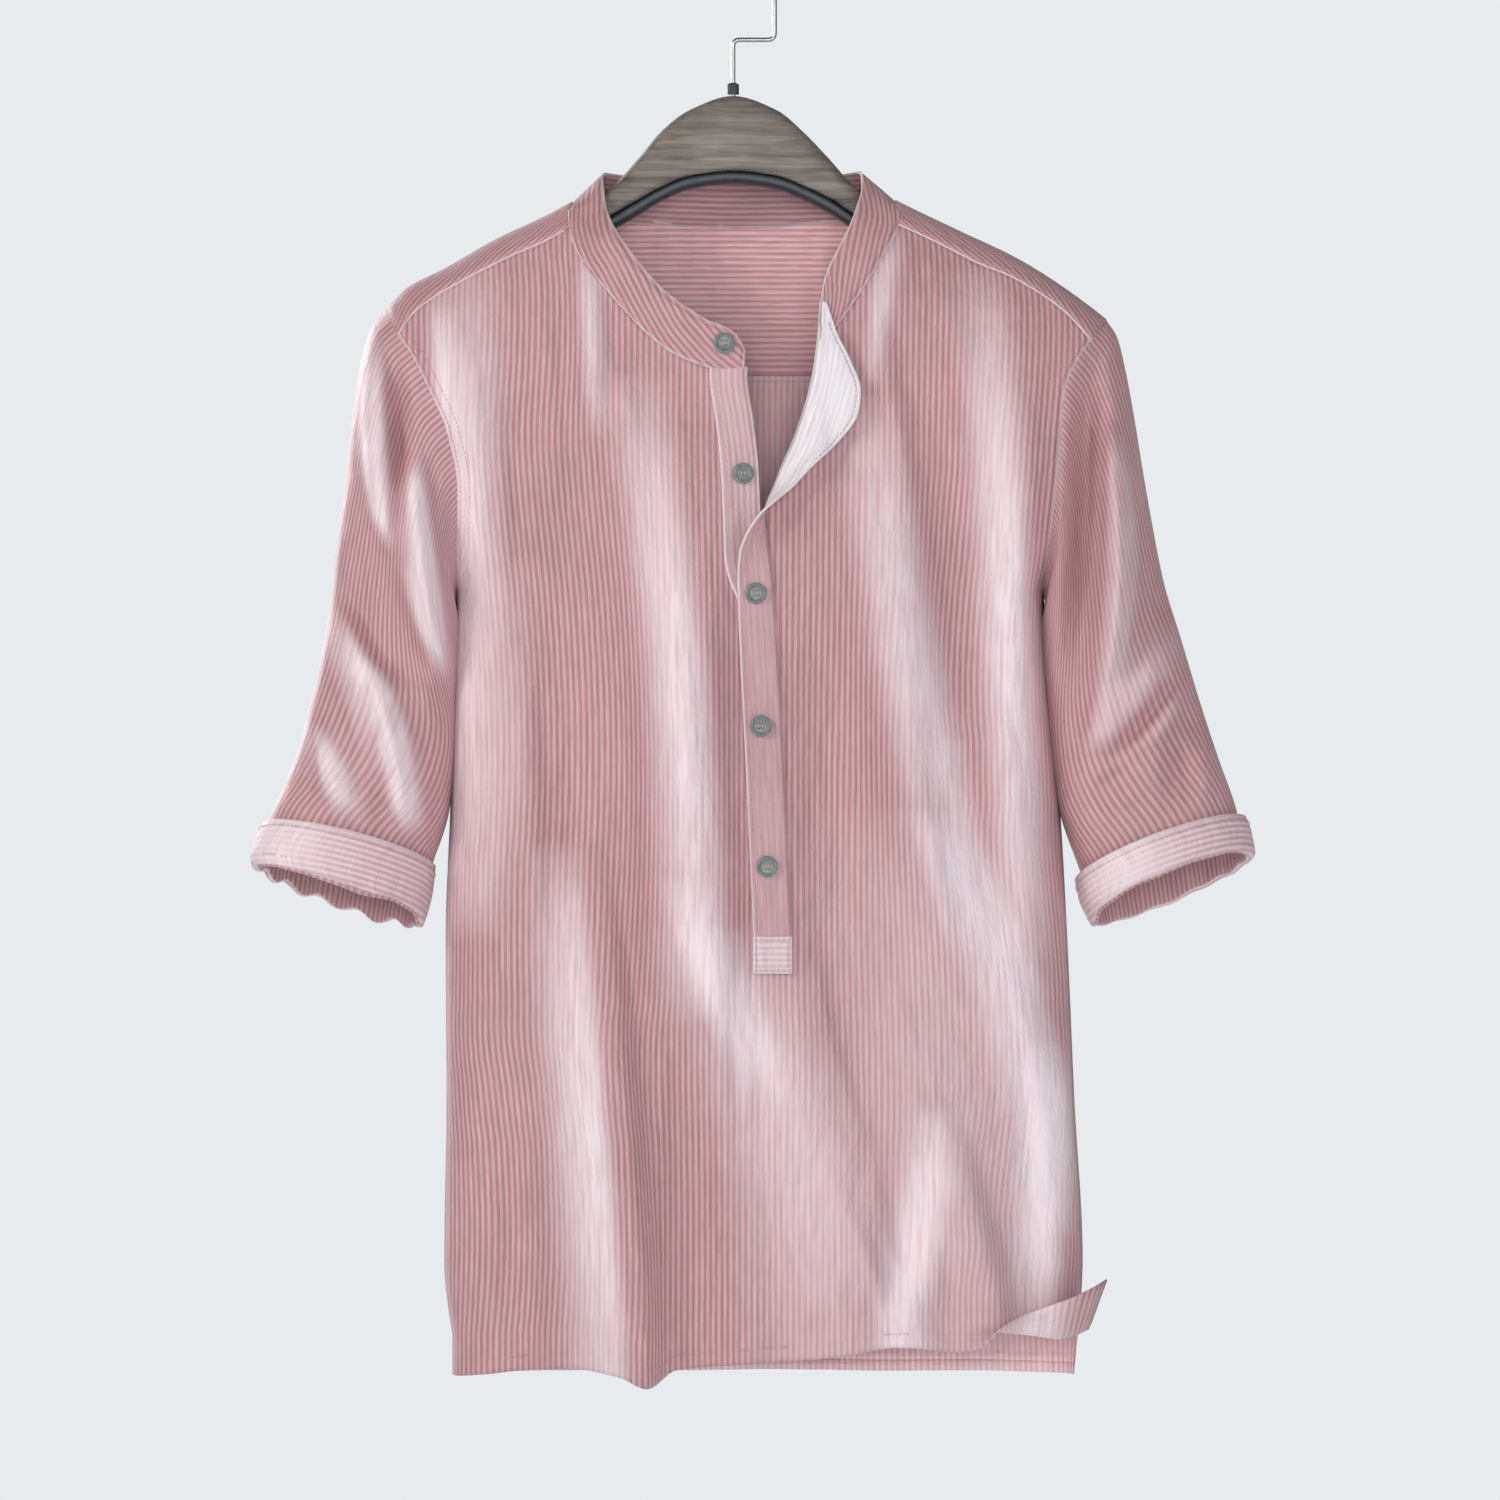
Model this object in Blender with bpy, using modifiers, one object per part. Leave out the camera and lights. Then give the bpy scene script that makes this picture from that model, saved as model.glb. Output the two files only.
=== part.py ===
"""A band-collar popover shirt on a wooden hanger.

The shirt is striped woven cloth: a front with a half placket, a back, a yoke
over the shoulders, a standing collar band, two sleeves with turned-up cuffs
and five buttons. It hangs on a contoured wooden hanger with a wire hook.

Axes: x to the viewer's right, y to the back, z up. The origin is where the
hook rests: the underside of its arch. Tables hold millimetres.

Every panel of the body is a patch of one skin. The skin is a front and a back
sheet that meet on the shoulder line and at the side seams; depth_at() gives
how far each sheet stands from the plane y = 0.
"""
import math
from collections import namedtuple

import bmesh
import bpy
from mathutils import Matrix, Vector

MM = 0.001

# ---------------------------------------------------------------- sizes (mm)
CLOTH = 1.2             # wall of the cloth solids
SEAM = 0.3              # gap left between two pieces at a seam
SIDE_SEAM = 0.5         # from the plane y = 0 to the edge of each sheet
CURVED_SEAM = 0.9       # gap in height at a seam on a curved place, whose walls lean
ARMHOLE_SEAM = 1.6      # from the armhole to the sleeve's first ring
NECK_SEAM = 1.3         # how far the shoulder strips stop before the neck seam
LAID_ON = 2.1           # from a panel's middle to the middle of what lies on it
FRONT, BACK = -1, 1     # sign of y on each sheet

SHOULDER_ROUND = 120.0  # drop below the shoulder line where a sheet is at full depth
ROUNDNESS = 2.2         # exponent of the rounding at shoulders and sides
SIDE_FADE = 8           # exponent that keeps folds away from the side seams
FOLD_ENDS = 0.7         # exponent of a fold's rise and fall along its line
UNDERARM = -392.0       # height of the underarm

FRONT_ROWS = 26
FRONT_CROWD = 1.367     # exponent: rows crowd towards the top, where the cloth turns most
SLIT_ROW = 18           # the row where the placket slit ends, near z = -600
HEM_ROWS = 4            # rows in the front hem band

BACK_YOKE_SEAM = -261.0
BACK_HEM = -862.0
BACK_ROWS = 18
BACK_COLUMNS = 26
BACK_CROWD = 1.15

YOKE_BACK_ROWS = 9      # rows up the back to the shoulder line
YOKE_FRONT_ROWS = 5     # rows from there down to the front seam
YOKE_MIDDLE_COLUMNS = 12

BAND_ROWS = 3
BAND_FOOT = 0.025       # share of its height that the band leaves clear at its seam

PLACKET_COLUMNS = 4     # across the over placket
UNDER_TOP = -260.5
UNDER_FOOT = -594.5
UNDER_WIDTH = 20.0
UNDER_CLEAR = 0.6       # from the under placket to the slit's other edge
UNDER_ROWS = 16
UNDER_COLUMNS = 3
BOX_TOP = -598.7
BOX_FOOT = -619.0
BOX_LEFT = 12.2
BOX_RIGHT = 35.2
BOX_ROWS = 3
BOX_COLUMNS = 4

SLEEVE_SIDES = 24       # points round a ring
SLEEVE_BLEND = 4        # rings over which the armhole's form fades
SLEEVE_ROUND = 0.9      # exponent of a ring's rounding, 1 for an ellipse

BUTTON_ACROSS = 12.7
BUTTON_THICK = 2.8
BUTTON_SIDES = 16
BUTTON_HOLE = 0.95      # radius
BUTTON_HOLE_OUT = 1.75  # from the middle to each hole

HANGER_TOP = -92.0      # top of the wood, at the hook
HANGER_STATIONS = 26
HANGER_SIDES = 12
WOOD_TOP_ROUND = 2.3    # exponents of a section's rounding: 2 is an ellipse,
WOOD_FOOT_ROUND = 7.0   # more is squarer
STRIP_TOP_ROUND = 7.0
STRIP_FOOT_ROUND = 3.0
STRIP_HALF = 8.0        # half the strip's thickness
STRIP_SHORT = 14.0      # how far the strip stops before the hanger's tips
STRIP_CLEAR = 0.5       # from the wood down to the strip

HOOK_WIRE = 1.4         # radius
HOOK_ARCH = 25.0        # radius of the arch that rests on the rail
HOOK_JOG = -58.2        # height of the sideways jog
HOOK_BEND = 3.6         # radius of the jog's two bends
HOOK_HOLE = 24.0        # how deep the wire goes into the wood
HOOK_TAIL = 10.0        # how far the free end hangs below the arch
HOOK_FLARE = 1.0        # how far it leans outward on the way
FERRULE_RADIUS = 3.6
FERRULE_LIFT = 0.9      # from the wood up to the ferrule
FERRULE_TALL = 6.0
FERRULE_LIP = 0.9       # how far its inner edge stands above its outer edge
FERRULE_SIDES = 16

# -------------------------------------------------------------------- tables
# Outline of the body seen from the front. Above the underarm these edges are
# the armholes. closed: 1 where front and back meet, less where the armhole
# keeps them apart.
Outline = namedtuple("Outline", "z left right closed front back")
OUTLINE = [
    Outline(-221.0, -208.5, 224.5, 0.00, 40, 36),
    Outline(-227.4, -205.4, 224.5, 0.02, 40, 36),
    Outline(-238, -200.2, 216.4, 0.05, 40, 36),
    Outline(-250, -192.0, 207.5, 0.10, 41, 37),
    Outline(-269, -182.4, 199.0, 0.18, 42, 37),
    Outline(-296, -171.0, 196.3, 0.27, 42, 37),
    Outline(-330, -165.0, 193.6, 0.42, 43, 37),
    Outline(-364, -165.8, 189.6, 0.72, 43, 36),
    Outline(-392, -166.6, 187.0, 1.00, 43, 36),
    Outline(-456, -168.6, 190.6, 1.00, 42, 35),
    Outline(-516, -169.8, 196.2, 1.00, 42, 34),
    Outline(-600, -172.8, 201.0, 1.00, 42, 34),
    Outline(-696, -172.2, 205.2, 1.00, 43, 35),
    Outline(-793, -173.6, 210.2, 1.00, 44, 36),
    Outline(-862, -165.0, 205.0, 1.00, 44, 36),
]

# The line over the shoulders, where the cloth lies on the hanger.
Shoulder = namedtuple("Shoulder", "x z")
SHOULDER = [
    Shoulder(-208.5, -221.0),
    Shoulder(-197.4, -209.5),
    Shoulder(-172.2, -196.2),
    Shoulder(-142.8, -179.4),
    Shoulder(-111.0, -164.4),
    Shoulder(-97.5, -157.0),
    Shoulder(-60.0, -136.0),
    Shoulder(0.0, -112.0),
    Shoulder(60.0, -134.0),
    Shoulder(98.4, -156.0),
    Shoulder(135.6, -174.0),
    Shoulder(168.6, -189.6),
    Shoulder(190.8, -202.8),
    Shoulder(213.0, -218.4),
    Shoulder(224.5, -227.4),
]

# Top edge of the front, in four stretches: the yoke seams and the neck seams.
# Each row is a column of the front and, on a yoke seam, one of the yoke.
TopEdge = namedtuple("TopEdge", "x z")
YOKE_SEAM_LEFT = [
    TopEdge(-200.8, -236.8),
    TopEdge(-191.0, -222.8),
    TopEdge(-178.0, -212.9),
    TopEdge(-164.0, -204.7),
    TopEdge(-148.0, -196.3),
    TopEdge(-131.0, -188.0),
    TopEdge(-114.0, -180.8),
    TopEdge(-98.4, -172.0),
]
NECK_SEAM_LEFT = [
    TopEdge(-98.4, -172.0),
    TopEdge(-90.0, -191.4),
    TopEdge(-80.4, -203.4),
    TopEdge(-67.8, -218.4),
    TopEdge(-52.8, -234.0),
    TopEdge(-37.8, -246.0),
    TopEdge(-24.0, -252.6),
    TopEdge(-11.4, -256.8),
]
NECK_SEAM_RIGHT = [
    TopEdge(49.5, -247.0),
    TopEdge(62.0, -231.0),
    TopEdge(74.0, -214.0),
    TopEdge(83.4, -199.2),
    TopEdge(92.0, -184.0),
    TopEdge(99.0, -170.0),
]
YOKE_SEAM_RIGHT = [
    TopEdge(99.0, -170.0),
    TopEdge(115.0, -177.2),
    TopEdge(131.0, -185.2),
    TopEdge(148.0, -193.7),
    TopEdge(165.0, -200.4),
    TopEdge(181.0, -209.4),
    TopEdge(198.0, -221.6),
    TopEdge(215.0, -240.0),
]

# The slit: the left edge carries the under placket, the right edge carries
# the over placket and, above the last button, turns back over the chest.
Slit = namedtuple("Slit", "z left right")
SLIT = [
    Slit(-247, -11.4, 49.5),
    Slit(-263, -12.0, 47.6),
    Slit(-288, -8.5, 41.0),
    Slit(-318, -5.3, 29.4),
    Slit(-342, -4.2, 20.0),
    Slit(-372, -3.0, 21.5),
    Slit(-486, 4.0, 28.0),
    Slit(-600, 11.4, 33.4),
    Slit(-862, 14.0, 36.0),
]

# Foot of the front: where the hem band starts, how wide it is and how far it
# turns outward and up, in degrees.
HemFoot = namedtuple("HemFoot", "x fold band turn out")
HEM_FOOT = [
    HemFoot(-165.0, -838.2, 24, 0, 0),
    HemFoot(-97.0, -832.0, 24, 0, 0),
    HemFoot(-68.0, -836.0, 24, 0, 0),
    HemFoot(-51.0, -843.0, 24, 0, 0),
    HemFoot(-34.0, -833.0, 24, 0, 0),
    HemFoot(0.0, -829.5, 24, 0, 0),
    HemFoot(60.0, -824.5, 24, 0, 0),
    HemFoot(100.0, -818.5, 24, 4, 0),
    HemFoot(128.0, -822.0, 24, 12, 0),
    HemFoot(146.0, -825.0, 23, 45, 0),
    HemFoot(160.0, -831.0, 22, 105, 0),
    HemFoot(176.0, -836.0, 22, 138, 1),
    HemFoot(194.0, -838.0, 25, 152, 4),
    HemFoot(210.0, -832.0, 31, 156, 14),
]

# Back of the neck: height of the neck seam.
NeckBack = namedtuple("NeckBack", "x z")
NECK_BACK = [
    NeckBack(-97.5, -157.2),
    NeckBack(-88.0, -161.5),
    NeckBack(-66.0, -165.0),
    NeckBack(0.0, -168.0),
    NeckBack(66.0, -164.6),
    NeckBack(89.0, -160.6),
    NeckBack(98.4, -156.2),
]

# The collar band, a row for each section from the left end round the back of
# the neck to the right end. side tells which sheet the seam lies on, and
# lean is how far the top edge stands from the plane y = 0, as a share of the
# seam's own distance.
Band = namedtuple("Band", "seam_x seam_z top_x top_z side lean")
BAND = [
    Band(6.8, -258.3, 6.8, -246.5, FRONT, 1.00),
    Band(-3.0, -258.1, 2.6, -238.6, FRONT, 1.00),
    Band(-11.4, -256.8, -5.0, -233.0, FRONT, 1.00),
    Band(-24.0, -252.6, -14.5, -229.3, FRONT, 0.99),
    Band(-37.8, -246.0, -25.5, -222.6, FRONT, 0.98),
    Band(-52.8, -234.0, -38.0, -213.6, FRONT, 0.97),
    Band(-67.8, -218.4, -51.0, -200.6, FRONT, 0.96),
    Band(-80.4, -203.4, -61.6, -187.0, FRONT, 0.94),
    Band(-90.0, -191.4, -69.5, -175.4, FRONT, 0.90),
    Band(-97.2, -174.0, -75.6, -161.4, FRONT, 0.80),
    Band(-98.0, -162.0, -77.6, -148.6, FRONT, 0.55),
    Band(-96.6, -157.2, -78.6, -140.4, BACK, 1.00),
    Band(-93.4, -158.8, -76.6, -137.8, BACK, 1.00),
    Band(-86.0, -161.9, -71.0, -138.0, BACK, 0.98),
    Band(-66.0, -165.0, -55.0, -140.4, BACK, 0.94),
    Band(-34.0, -167.2, -29.0, -142.0, BACK, 0.93),
    Band(0.0, -168.0, 0.0, -142.6, BACK, 0.93),
    Band(34.0, -167.0, 29.0, -141.8, BACK, 0.93),
    Band(66.0, -164.6, 55.0, -139.9, BACK, 0.94),
    Band(86.5, -161.2, 70.6, -137.4, BACK, 0.98),
    Band(94.0, -158.4, 75.4, -137.0, BACK, 1.00),
    Band(97.5, -156.2, 77.4, -139.4, BACK, 1.00),
    Band(98.6, -161.0, 77.2, -148.0, FRONT, 0.55),
    Band(97.8, -172.4, 74.6, -158.0, FRONT, 0.80),
    Band(92.0, -184.0, 70.6, -169.6, FRONT, 0.90),
    Band(83.4, -199.2, 63.0, -185.6, FRONT, 0.95),
    Band(74.0, -214.0, 56.4, -199.0, FRONT, 0.98),
    Band(62.0, -231.0, 53.2, -211.0, FRONT, 1.00),
    Band(50.5, -245.4, 51.6, -231.0, FRONT, 1.00),
]

# The over placket: root is the seam or the fold that it turns from, width is
# its reach from there, and turn is 180 where it lies closed over the slit and
# near 0 where it is turned back over the chest.
Placket = namedtuple("Placket", "z root width turn")
PLACKET_OVER = [
    Placket(-598, 35.4, 23.0, 180),
    Placket(-560, 33.6, 23.0, 180),
    Placket(-520, 31.8, 23.0, 180),
    Placket(-486, 30.2, 23.0, 180),
    Placket(-450, 28.2, 23.0, 180),
    Placket(-415, 26.2, 22.5, 180),
    Placket(-388, 24.2, 21.5, 178),
    Placket(-370, 22.0, 19.0, 166),
    Placket(-357, 20.0, 16.0, 138),
    Placket(-346, 19.0, 14.0, 104),
    Placket(-337, 21.0, 14.0, 70),
    Placket(-328, 24.8, 15.5, 40),
    Placket(-318, 28.4, 19.5, 24),
    Placket(-303, 35.0, 28.0, 14),
    Placket(-286, 41.0, 34.0, 10),
    Placket(-271, 45.3, 31.5, 9),
    Placket(-254, 48.6, 22.5, 10),
    Placket(-236, 50.8, 11.5, 14),
    Placket(-218, 52.2, 4.0, 22),
]

# Sleeves, a row for each ring: its outer end, its inner end (next to the
# body), its half depth and how far its back hangs below its front.
Ring = namedtuple("Ring", "outer_x outer_z inner_x inner_z depth drop")
SLEEVE_LEFT = [
    Ring(-208.5, -221, -166.6, -392, 38, 0),
    Ring(-217.0, -231, -168.4, -399, 38, 0),
    Ring(-223.5, -252, -168.8, -409, 38, 0),
    Ring(-228.5, -282, -169.4, -421, 37, 0),
    Ring(-232.8, -322, -170.2, -437, 36, 0),
    Ring(-238.5, -362, -171.0, -454, 35, 0),
    Ring(-243.8, -408, -171.4, -472, 34, 1),
    Ring(-251.4, -446, -172.4, -492, 33, 3),
    Ring(-260.0, -480, -174.6, -514, 33, 5),
    Ring(-270.0, -508, -178.5, -536, 34, 8),
    Ring(-279.0, -528, -182.5, -556, 36, 10),
    Ring(-285.6, -555.4, -190.4, -590.2, 36.8, 10),
]
SLEEVE_RIGHT = [
    Ring(224.5, -227.4, 187.0, -392, 38, 0),
    Ring(231.0, -238, 189.0, -399, 38, 0),
    Ring(236.0, -258, 189.8, -409, 38, 0),
    Ring(241.0, -285, 190.6, -421, 37, 0),
    Ring(246.4, -318, 191.6, -437, 36, 0),
    Ring(252.0, -350, 193.0, -454, 35, 0),
    Ring(259.0, -385, 194.6, -472, 34, 1),
    Ring(269.5, -420, 196.6, -492, 33, 3),
    Ring(281.0, -458, 199.6, -513, 33, 5),
    Ring(292.0, -492, 204.6, -536, 34, 8),
    Ring(302.5, -522, 210.5, -560, 36, 11),
    Ring(308.8, -550.4, 219.4, -589.2, 36.8, 12),
]
CUFF_LEFT = [
    Ring(-282.8, -531.0, -179.8, -556.0, 39.6, 10),
    Ring(-286.8, -541.0, -182.2, -570.0, 40.2, 10),
    Ring(-289.2, -552.0, -186.2, -586.0, 39.6, 10),
    Ring(-288.2, -556.6, -188.4, -591.0, 38.0, 10),
    Ring(-286.0, -556.6, -190.2, -591.4, 36.9, 10),
]
CUFF_RIGHT = [
    Ring(308.6, -528.0, 206.4, -564.0, 39.6, 12),
    Ring(311.8, -538.0, 210.0, -577.0, 40.2, 12),
    Ring(312.8, -548.0, 215.0, -587.0, 39.6, 12),
    Ring(311.4, -551.8, 217.4, -590.4, 38.0, 12),
    Ring(309.2, -551.7, 219.2, -590.4, 36.9, 12),
]

# Largest folds: crests (height > 0) and troughs seen from the front, each on
# a line through three points, with its reach to the left and to the right.
Fold = namedtuple("Fold", "x0 z0 x1 z1 x2 z2 left right height")
FRONT_FOLDS = [
    Fold(-92, -150, -86, -215, -84, -310, 17, 12, 5.0),
    Fold(-172, -190, -158, -300, -156, -420, 22, 15, 6.0),
    Fold(-160, -330, -152, -520, -156, -760, 20, 44, 7.0),
    Fold(-112, -250, -82, -440, -76, -680, 60, 50, -9.0),
    Fold(-18, -290, -22, -450, -10, -720, 50, 32, 11.0),
    Fold(-86, -540, -62, -740, -50, -940, 48, 15, 13.0),
    Fold(-24, -640, -30, -800, -30, -930, 20, 38, -6.0),
    Fold(46, -380, 62, -520, 72, -720, 30, 36, -6.0),
    Fold(84, -320, 106, -470, 134, -640, 38, 28, 9.0),
    Fold(120, -520, 164, -640, 204, -730, 34, 22, 6.0),
    Fold(100, -215, 132, -330, 140, -480, 36, 36, -8.0),
    Fold(180, -230, 172, -400, 190, -660, 44, 20, 8.0),
    Fold(30, -640, 60, -760, 74, -930, 46, 44, 6.0),
    Fold(118, -690, 148, -780, 172, -910, 28, 15, 9.0),
    Fold(130, -760, 106, -820, 92, -900, 16, 24, 6.0),
    Fold(190, -700, 196, -790, 202, -890, 20, 13, 5.0),
    Fold(-140, -620, -130, -760, -134, -930, 24, 32, -5.0),
]
BACK_FOLDS = [
    Fold(-120, -240, -110, -450, -124, -930, 44, 50, 8.0),
    Fold(-46, -300, -50, -560, -40, -930, 40, 36, -7.0),
    Fold(20, -250, 26, -520, 16, -930, 38, 44, 8.5),
    Fold(84, -330, 92, -600, 88, -930, 34, 40, -7.0),
    Fold(146, -240, 150, -500, 158, -930, 36, 30, 7.0),
]
SLEEVE_LEFT_FOLDS = [
    Fold(-212, -230, -212, -290, -204, -370, 15, 13, 6.0),
    Fold(-200, -240, -200, -290, -198, -330, 10, 12, -4.5),
    Fold(-192, -310, -186, -370, -174, -450, 18, 11, 7.0),
    Fold(-226, -360, -212, -410, -190, -450, 22, 22, -6.0),
    Fold(-240, -400, -214, -460, -198, -540, 24, 18, 7.0),
    Fold(-250, -470, -236, -510, -226, -560, 16, 20, 5.0),
]
SLEEVE_RIGHT_FOLDS = [
    Fold(212, -240, 212, -330, 206, -440, 17, 16, -6.5),
    Fold(224, -290, 230, -360, 214, -470, 18, 16, 7.0),
    Fold(266, -400, 244, -450, 206, -490, 26, 22, 6.0),
    Fold(282, -440, 272, -490, 262, -560, 18, 16, -5.0),
]

# The hanger, a row for each section: top of the wood, foot of the wood, foot
# of the dark strip, half thickness.
Hanger = namedtuple("Hanger", "x top foot strip half")
HANGER = [
    Hanger(-196, -211.0, -228, -236, 10.5),
    Hanger(-190, -207.0, -229, -237, 11.5),
    Hanger(-172, -198.4, -220, -228, 11.5),
    Hanger(-143, -181.8, -205, -213, 11.5),
    Hanger(-111, -166.6, -187, -195, 11.0),
    Hanger(-97, -159.2, -178, -186, 10.5),
    Hanger(-77, -150.0, -166.5, -175.5, 10.0),
    Hanger(-57, -129.6, -155.0, -164.0, 10.0),
    Hanger(-44, -114.0, -147.8, -156.0, 10.0),
    Hanger(-26, -100.4, -140.6, -148.2, 10.5),
    Hanger(0, -92.0, -137.6, -144.8, 11.0),
    Hanger(26, -100.4, -140.6, -148.2, 10.5),
    Hanger(44, -115.4, -147.4, -155.6, 10.0),
    Hanger(57, -129.0, -153.6, -162.4, 10.0),
    Hanger(77, -150.0, -166.5, -175.5, 10.0),
    Hanger(98, -159.2, -178, -186, 10.5),
    Hanger(135, -176.4, -199, -207, 11.5),
    Hanger(168, -191.8, -214, -222, 11.5),
    Hanger(191, -205.4, -226, -234, 11.5),
    Hanger(203, -214.0, -230, -238, 10.5),
]

# Buttons: where each sits, and what carries it.
Button = namedtuple("Button", "x z on")
BUTTONS = [
    Button(-5.2, -243.5, "band"),
    Button(5.6, -321.0, "under"),
    Button(13.8, -392.4, "over"),
    Button(16.6, -471.6, "over"),
    Button(20.4, -555.6, "over"),
]
# From the skin to the underside of a button, by what carries it.
BUTTON_LIFT = {"band": 2.9, "under": 1.3, "over": LAID_ON + 1.5}

# Half a section of a button, as shares of its radius and of its thickness.
Turned = namedtuple("Turned", "radius height")
BUTTON_PROFILE = [
    Turned(0.00, 0.62),
    Turned(0.62, 0.62),
    Turned(0.76, 1.00),
    Turned(1.00, 0.70),
    Turned(0.90, 0.00),
    Turned(0.00, 0.00),
]

# ------------------------------------------------------------------- colours
Finish = namedtuple("Finish", "name red green blue roughness metallic")
CLOTH_FINISH = Finish("striped_cotton", 0.55, 0.30, 0.32, 0.85, 0.0)
WOOD_FINISH = Finish("dark_wood", 0.16, 0.12, 0.09, 0.55, 0.0)
TRIM_FINISH = Finish("dark_trim", 0.03, 0.04, 0.05, 0.6, 0.0)
STEEL_FINISH = Finish("brushed_steel", 0.38, 0.40, 0.38, 0.35, 1.0)
BUTTON_FINISH = Finish("grey_green_button", 0.10, 0.14, 0.13, 0.4, 0.0)


# -------------------------------------------------------------------- curves
def smooth_step(share):
    """0 to 1 with soft ends."""
    share = min(max(share, 0.0), 1.0)
    return share * share * (3.0 - 2.0 * share)


def blend(first, last, share):
    return first + (last - first) * share


def curve_of(rows, key, column):
    """A smooth curve through one column of a table, read by another column.

    The slopes are limited, so that the curve never swings past its rows.
    """
    pairs = sorted((getattr(row, key), getattr(row, column)) for row in rows)
    at = [pair[0] for pair in pairs]
    value = [pair[1] for pair in pairs]
    steps = [(value[i + 1] - value[i]) / (at[i + 1] - at[i]) for i in range(len(at) - 1)]
    slopes = [steps[0]]
    for before, after in zip(steps, steps[1:]):
        same_way = before * after > 0
        slopes.append(2 * before * after / (before + after) if same_way else 0.0)
    slopes.append(steps[-1])

    def read(where):
        where = min(max(where, at[0]), at[-1])
        i = 0
        while i < len(steps) - 1 and where > at[i + 1]:
            i += 1
        width = at[i + 1] - at[i]
        t = (where - at[i]) / width
        return ((1 + 2 * t) * (1 - t) ** 2 * value[i]
                + t * (1 - t) ** 2 * width * slopes[i]
                + t * t * (3 - 2 * t) * value[i + 1]
                + t * t * (t - 1) * width * slopes[i + 1])

    return read


left_edge = curve_of(OUTLINE, "z", "left")
right_edge = curve_of(OUTLINE, "z", "right")
closed_at = curve_of(OUTLINE, "z", "closed")
depth_of = {FRONT: curve_of(OUTLINE, "z", "front"), BACK: curve_of(OUTLINE, "z", "back")}
shoulder_line = curve_of(SHOULDER, "x", "z")
slit_left = curve_of(SLIT, "z", "left")
slit_right = curve_of(SLIT, "z", "right")


# ---------------------------------------------------------------------- skin
def fold_line(fold, z):
    """Where a fold's line is at height z, on the curve through its three points."""
    a = (z - fold.z1) * (z - fold.z2) / ((fold.z0 - fold.z1) * (fold.z0 - fold.z2))
    b = (z - fold.z0) * (z - fold.z2) / ((fold.z1 - fold.z0) * (fold.z1 - fold.z2))
    c = (z - fold.z0) * (z - fold.z1) / ((fold.z2 - fold.z0) * (fold.z2 - fold.z1))
    return a * fold.x0 + b * fold.x1 + c * fold.x2


def folds_at(folds, x, z):
    """How far the folds lift the cloth outward at this place."""
    lift = 0.0
    for fold in folds:
        share = (fold.z0 - z) / (fold.z0 - fold.z2)
        if not 0.0 < share < 1.0:
            continue
        off = x - fold_line(fold, z)
        reach = off / (fold.right if off > 0 else fold.left)
        if abs(reach) < 1.0:
            rise = math.sin(math.pi * share) ** FOLD_ENDS
            lift += fold.height * (1 - reach * reach) ** 2 * rise
    return lift


def depth_at(side, x, z):
    """How far the skin stands from the plane y = 0, on the front or the back."""
    middle = (left_edge(z) + right_edge(z)) / 2
    half = (right_edge(z) - left_edge(z)) / 2
    across = min(abs(x - middle) / half, 1.0)
    drop = min(max((shoulder_line(x) - z) / SHOULDER_ROUND, 0.0), 1.0)
    over_shoulder = (1 - (1 - drop) ** ROUNDNESS) ** (1 / ROUNDNESS)
    round_side = max(1 - closed_at(z) * across ** ROUNDNESS, 0.0) ** (1 / ROUNDNESS)
    folds = FRONT_FOLDS if side == FRONT else BACK_FOLDS
    lift = folds_at(folds, x, z) * (1 - across ** SIDE_FADE) * smooth_step(drop * 2)
    return depth_of[side](z) * over_shoulder * round_side + lift


def skin(side, x, z, out=0.0):
    """A point on the skin, moved outward by out."""
    return Vector((x, side * (depth_at(side, x, z) + out), z))


# ------------------------------------------------------------------- objects
def make_finish(finish):
    material = bpy.data.materials.new(finish.name)
    material.use_nodes = True
    shader = material.node_tree.nodes["Principled BSDF"]
    shader.inputs["Base Color"].default_value = (finish.red, finish.green, finish.blue, 1)
    shader.inputs["Roughness"].default_value = finish.roughness
    shader.inputs["Metallic"].default_value = finish.metallic
    return material


def add_object(name, mesh, material, collection):
    mesh.materials.clear()
    mesh.materials.append(material)
    mesh.shade_smooth()
    mesh.set_sharp_from_angle(angle=math.radians(40))
    piece = bpy.data.objects.new(name, mesh)
    collection.objects.link(piece)
    return piece


def sheet_mesh(name, rows, wrap=False, missing=()):
    """A mesh through rows of points; missing holds (row, column) faces left out."""
    bm = bmesh.new()
    verts = {}

    def vert(r, c):
        if (r, c) not in verts:
            verts[r, c] = bm.verts.new(rows[r][c] * MM)
        return verts[r, c]

    columns = len(rows[0])
    for r in range(len(rows) - 1):
        for c in range(columns if wrap else columns - 1):
            if (r, c) not in missing:
                right = (c + 1) % columns
                bm.faces.new((vert(r, c), vert(r, right), vert(r + 1, right), vert(r + 1, c)))
    bmesh.ops.recalc_face_normals(bm, faces=bm.faces)
    mesh = bpy.data.meshes.new(name)
    bm.to_mesh(mesh)
    bm.free()
    return mesh


def add_cloth(name, rows, material, collection, wrap=False, missing=()):
    """A cloth panel: an open sheet with a wall laid half on each side of it."""
    piece = add_object(name, sheet_mesh(name, rows, wrap, missing), material, collection)
    wall = piece.modifiers.new("cloth_wall", "SOLIDIFY")
    wall.thickness = CLOTH * MM
    wall.offset = 0.0
    return piece


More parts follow.
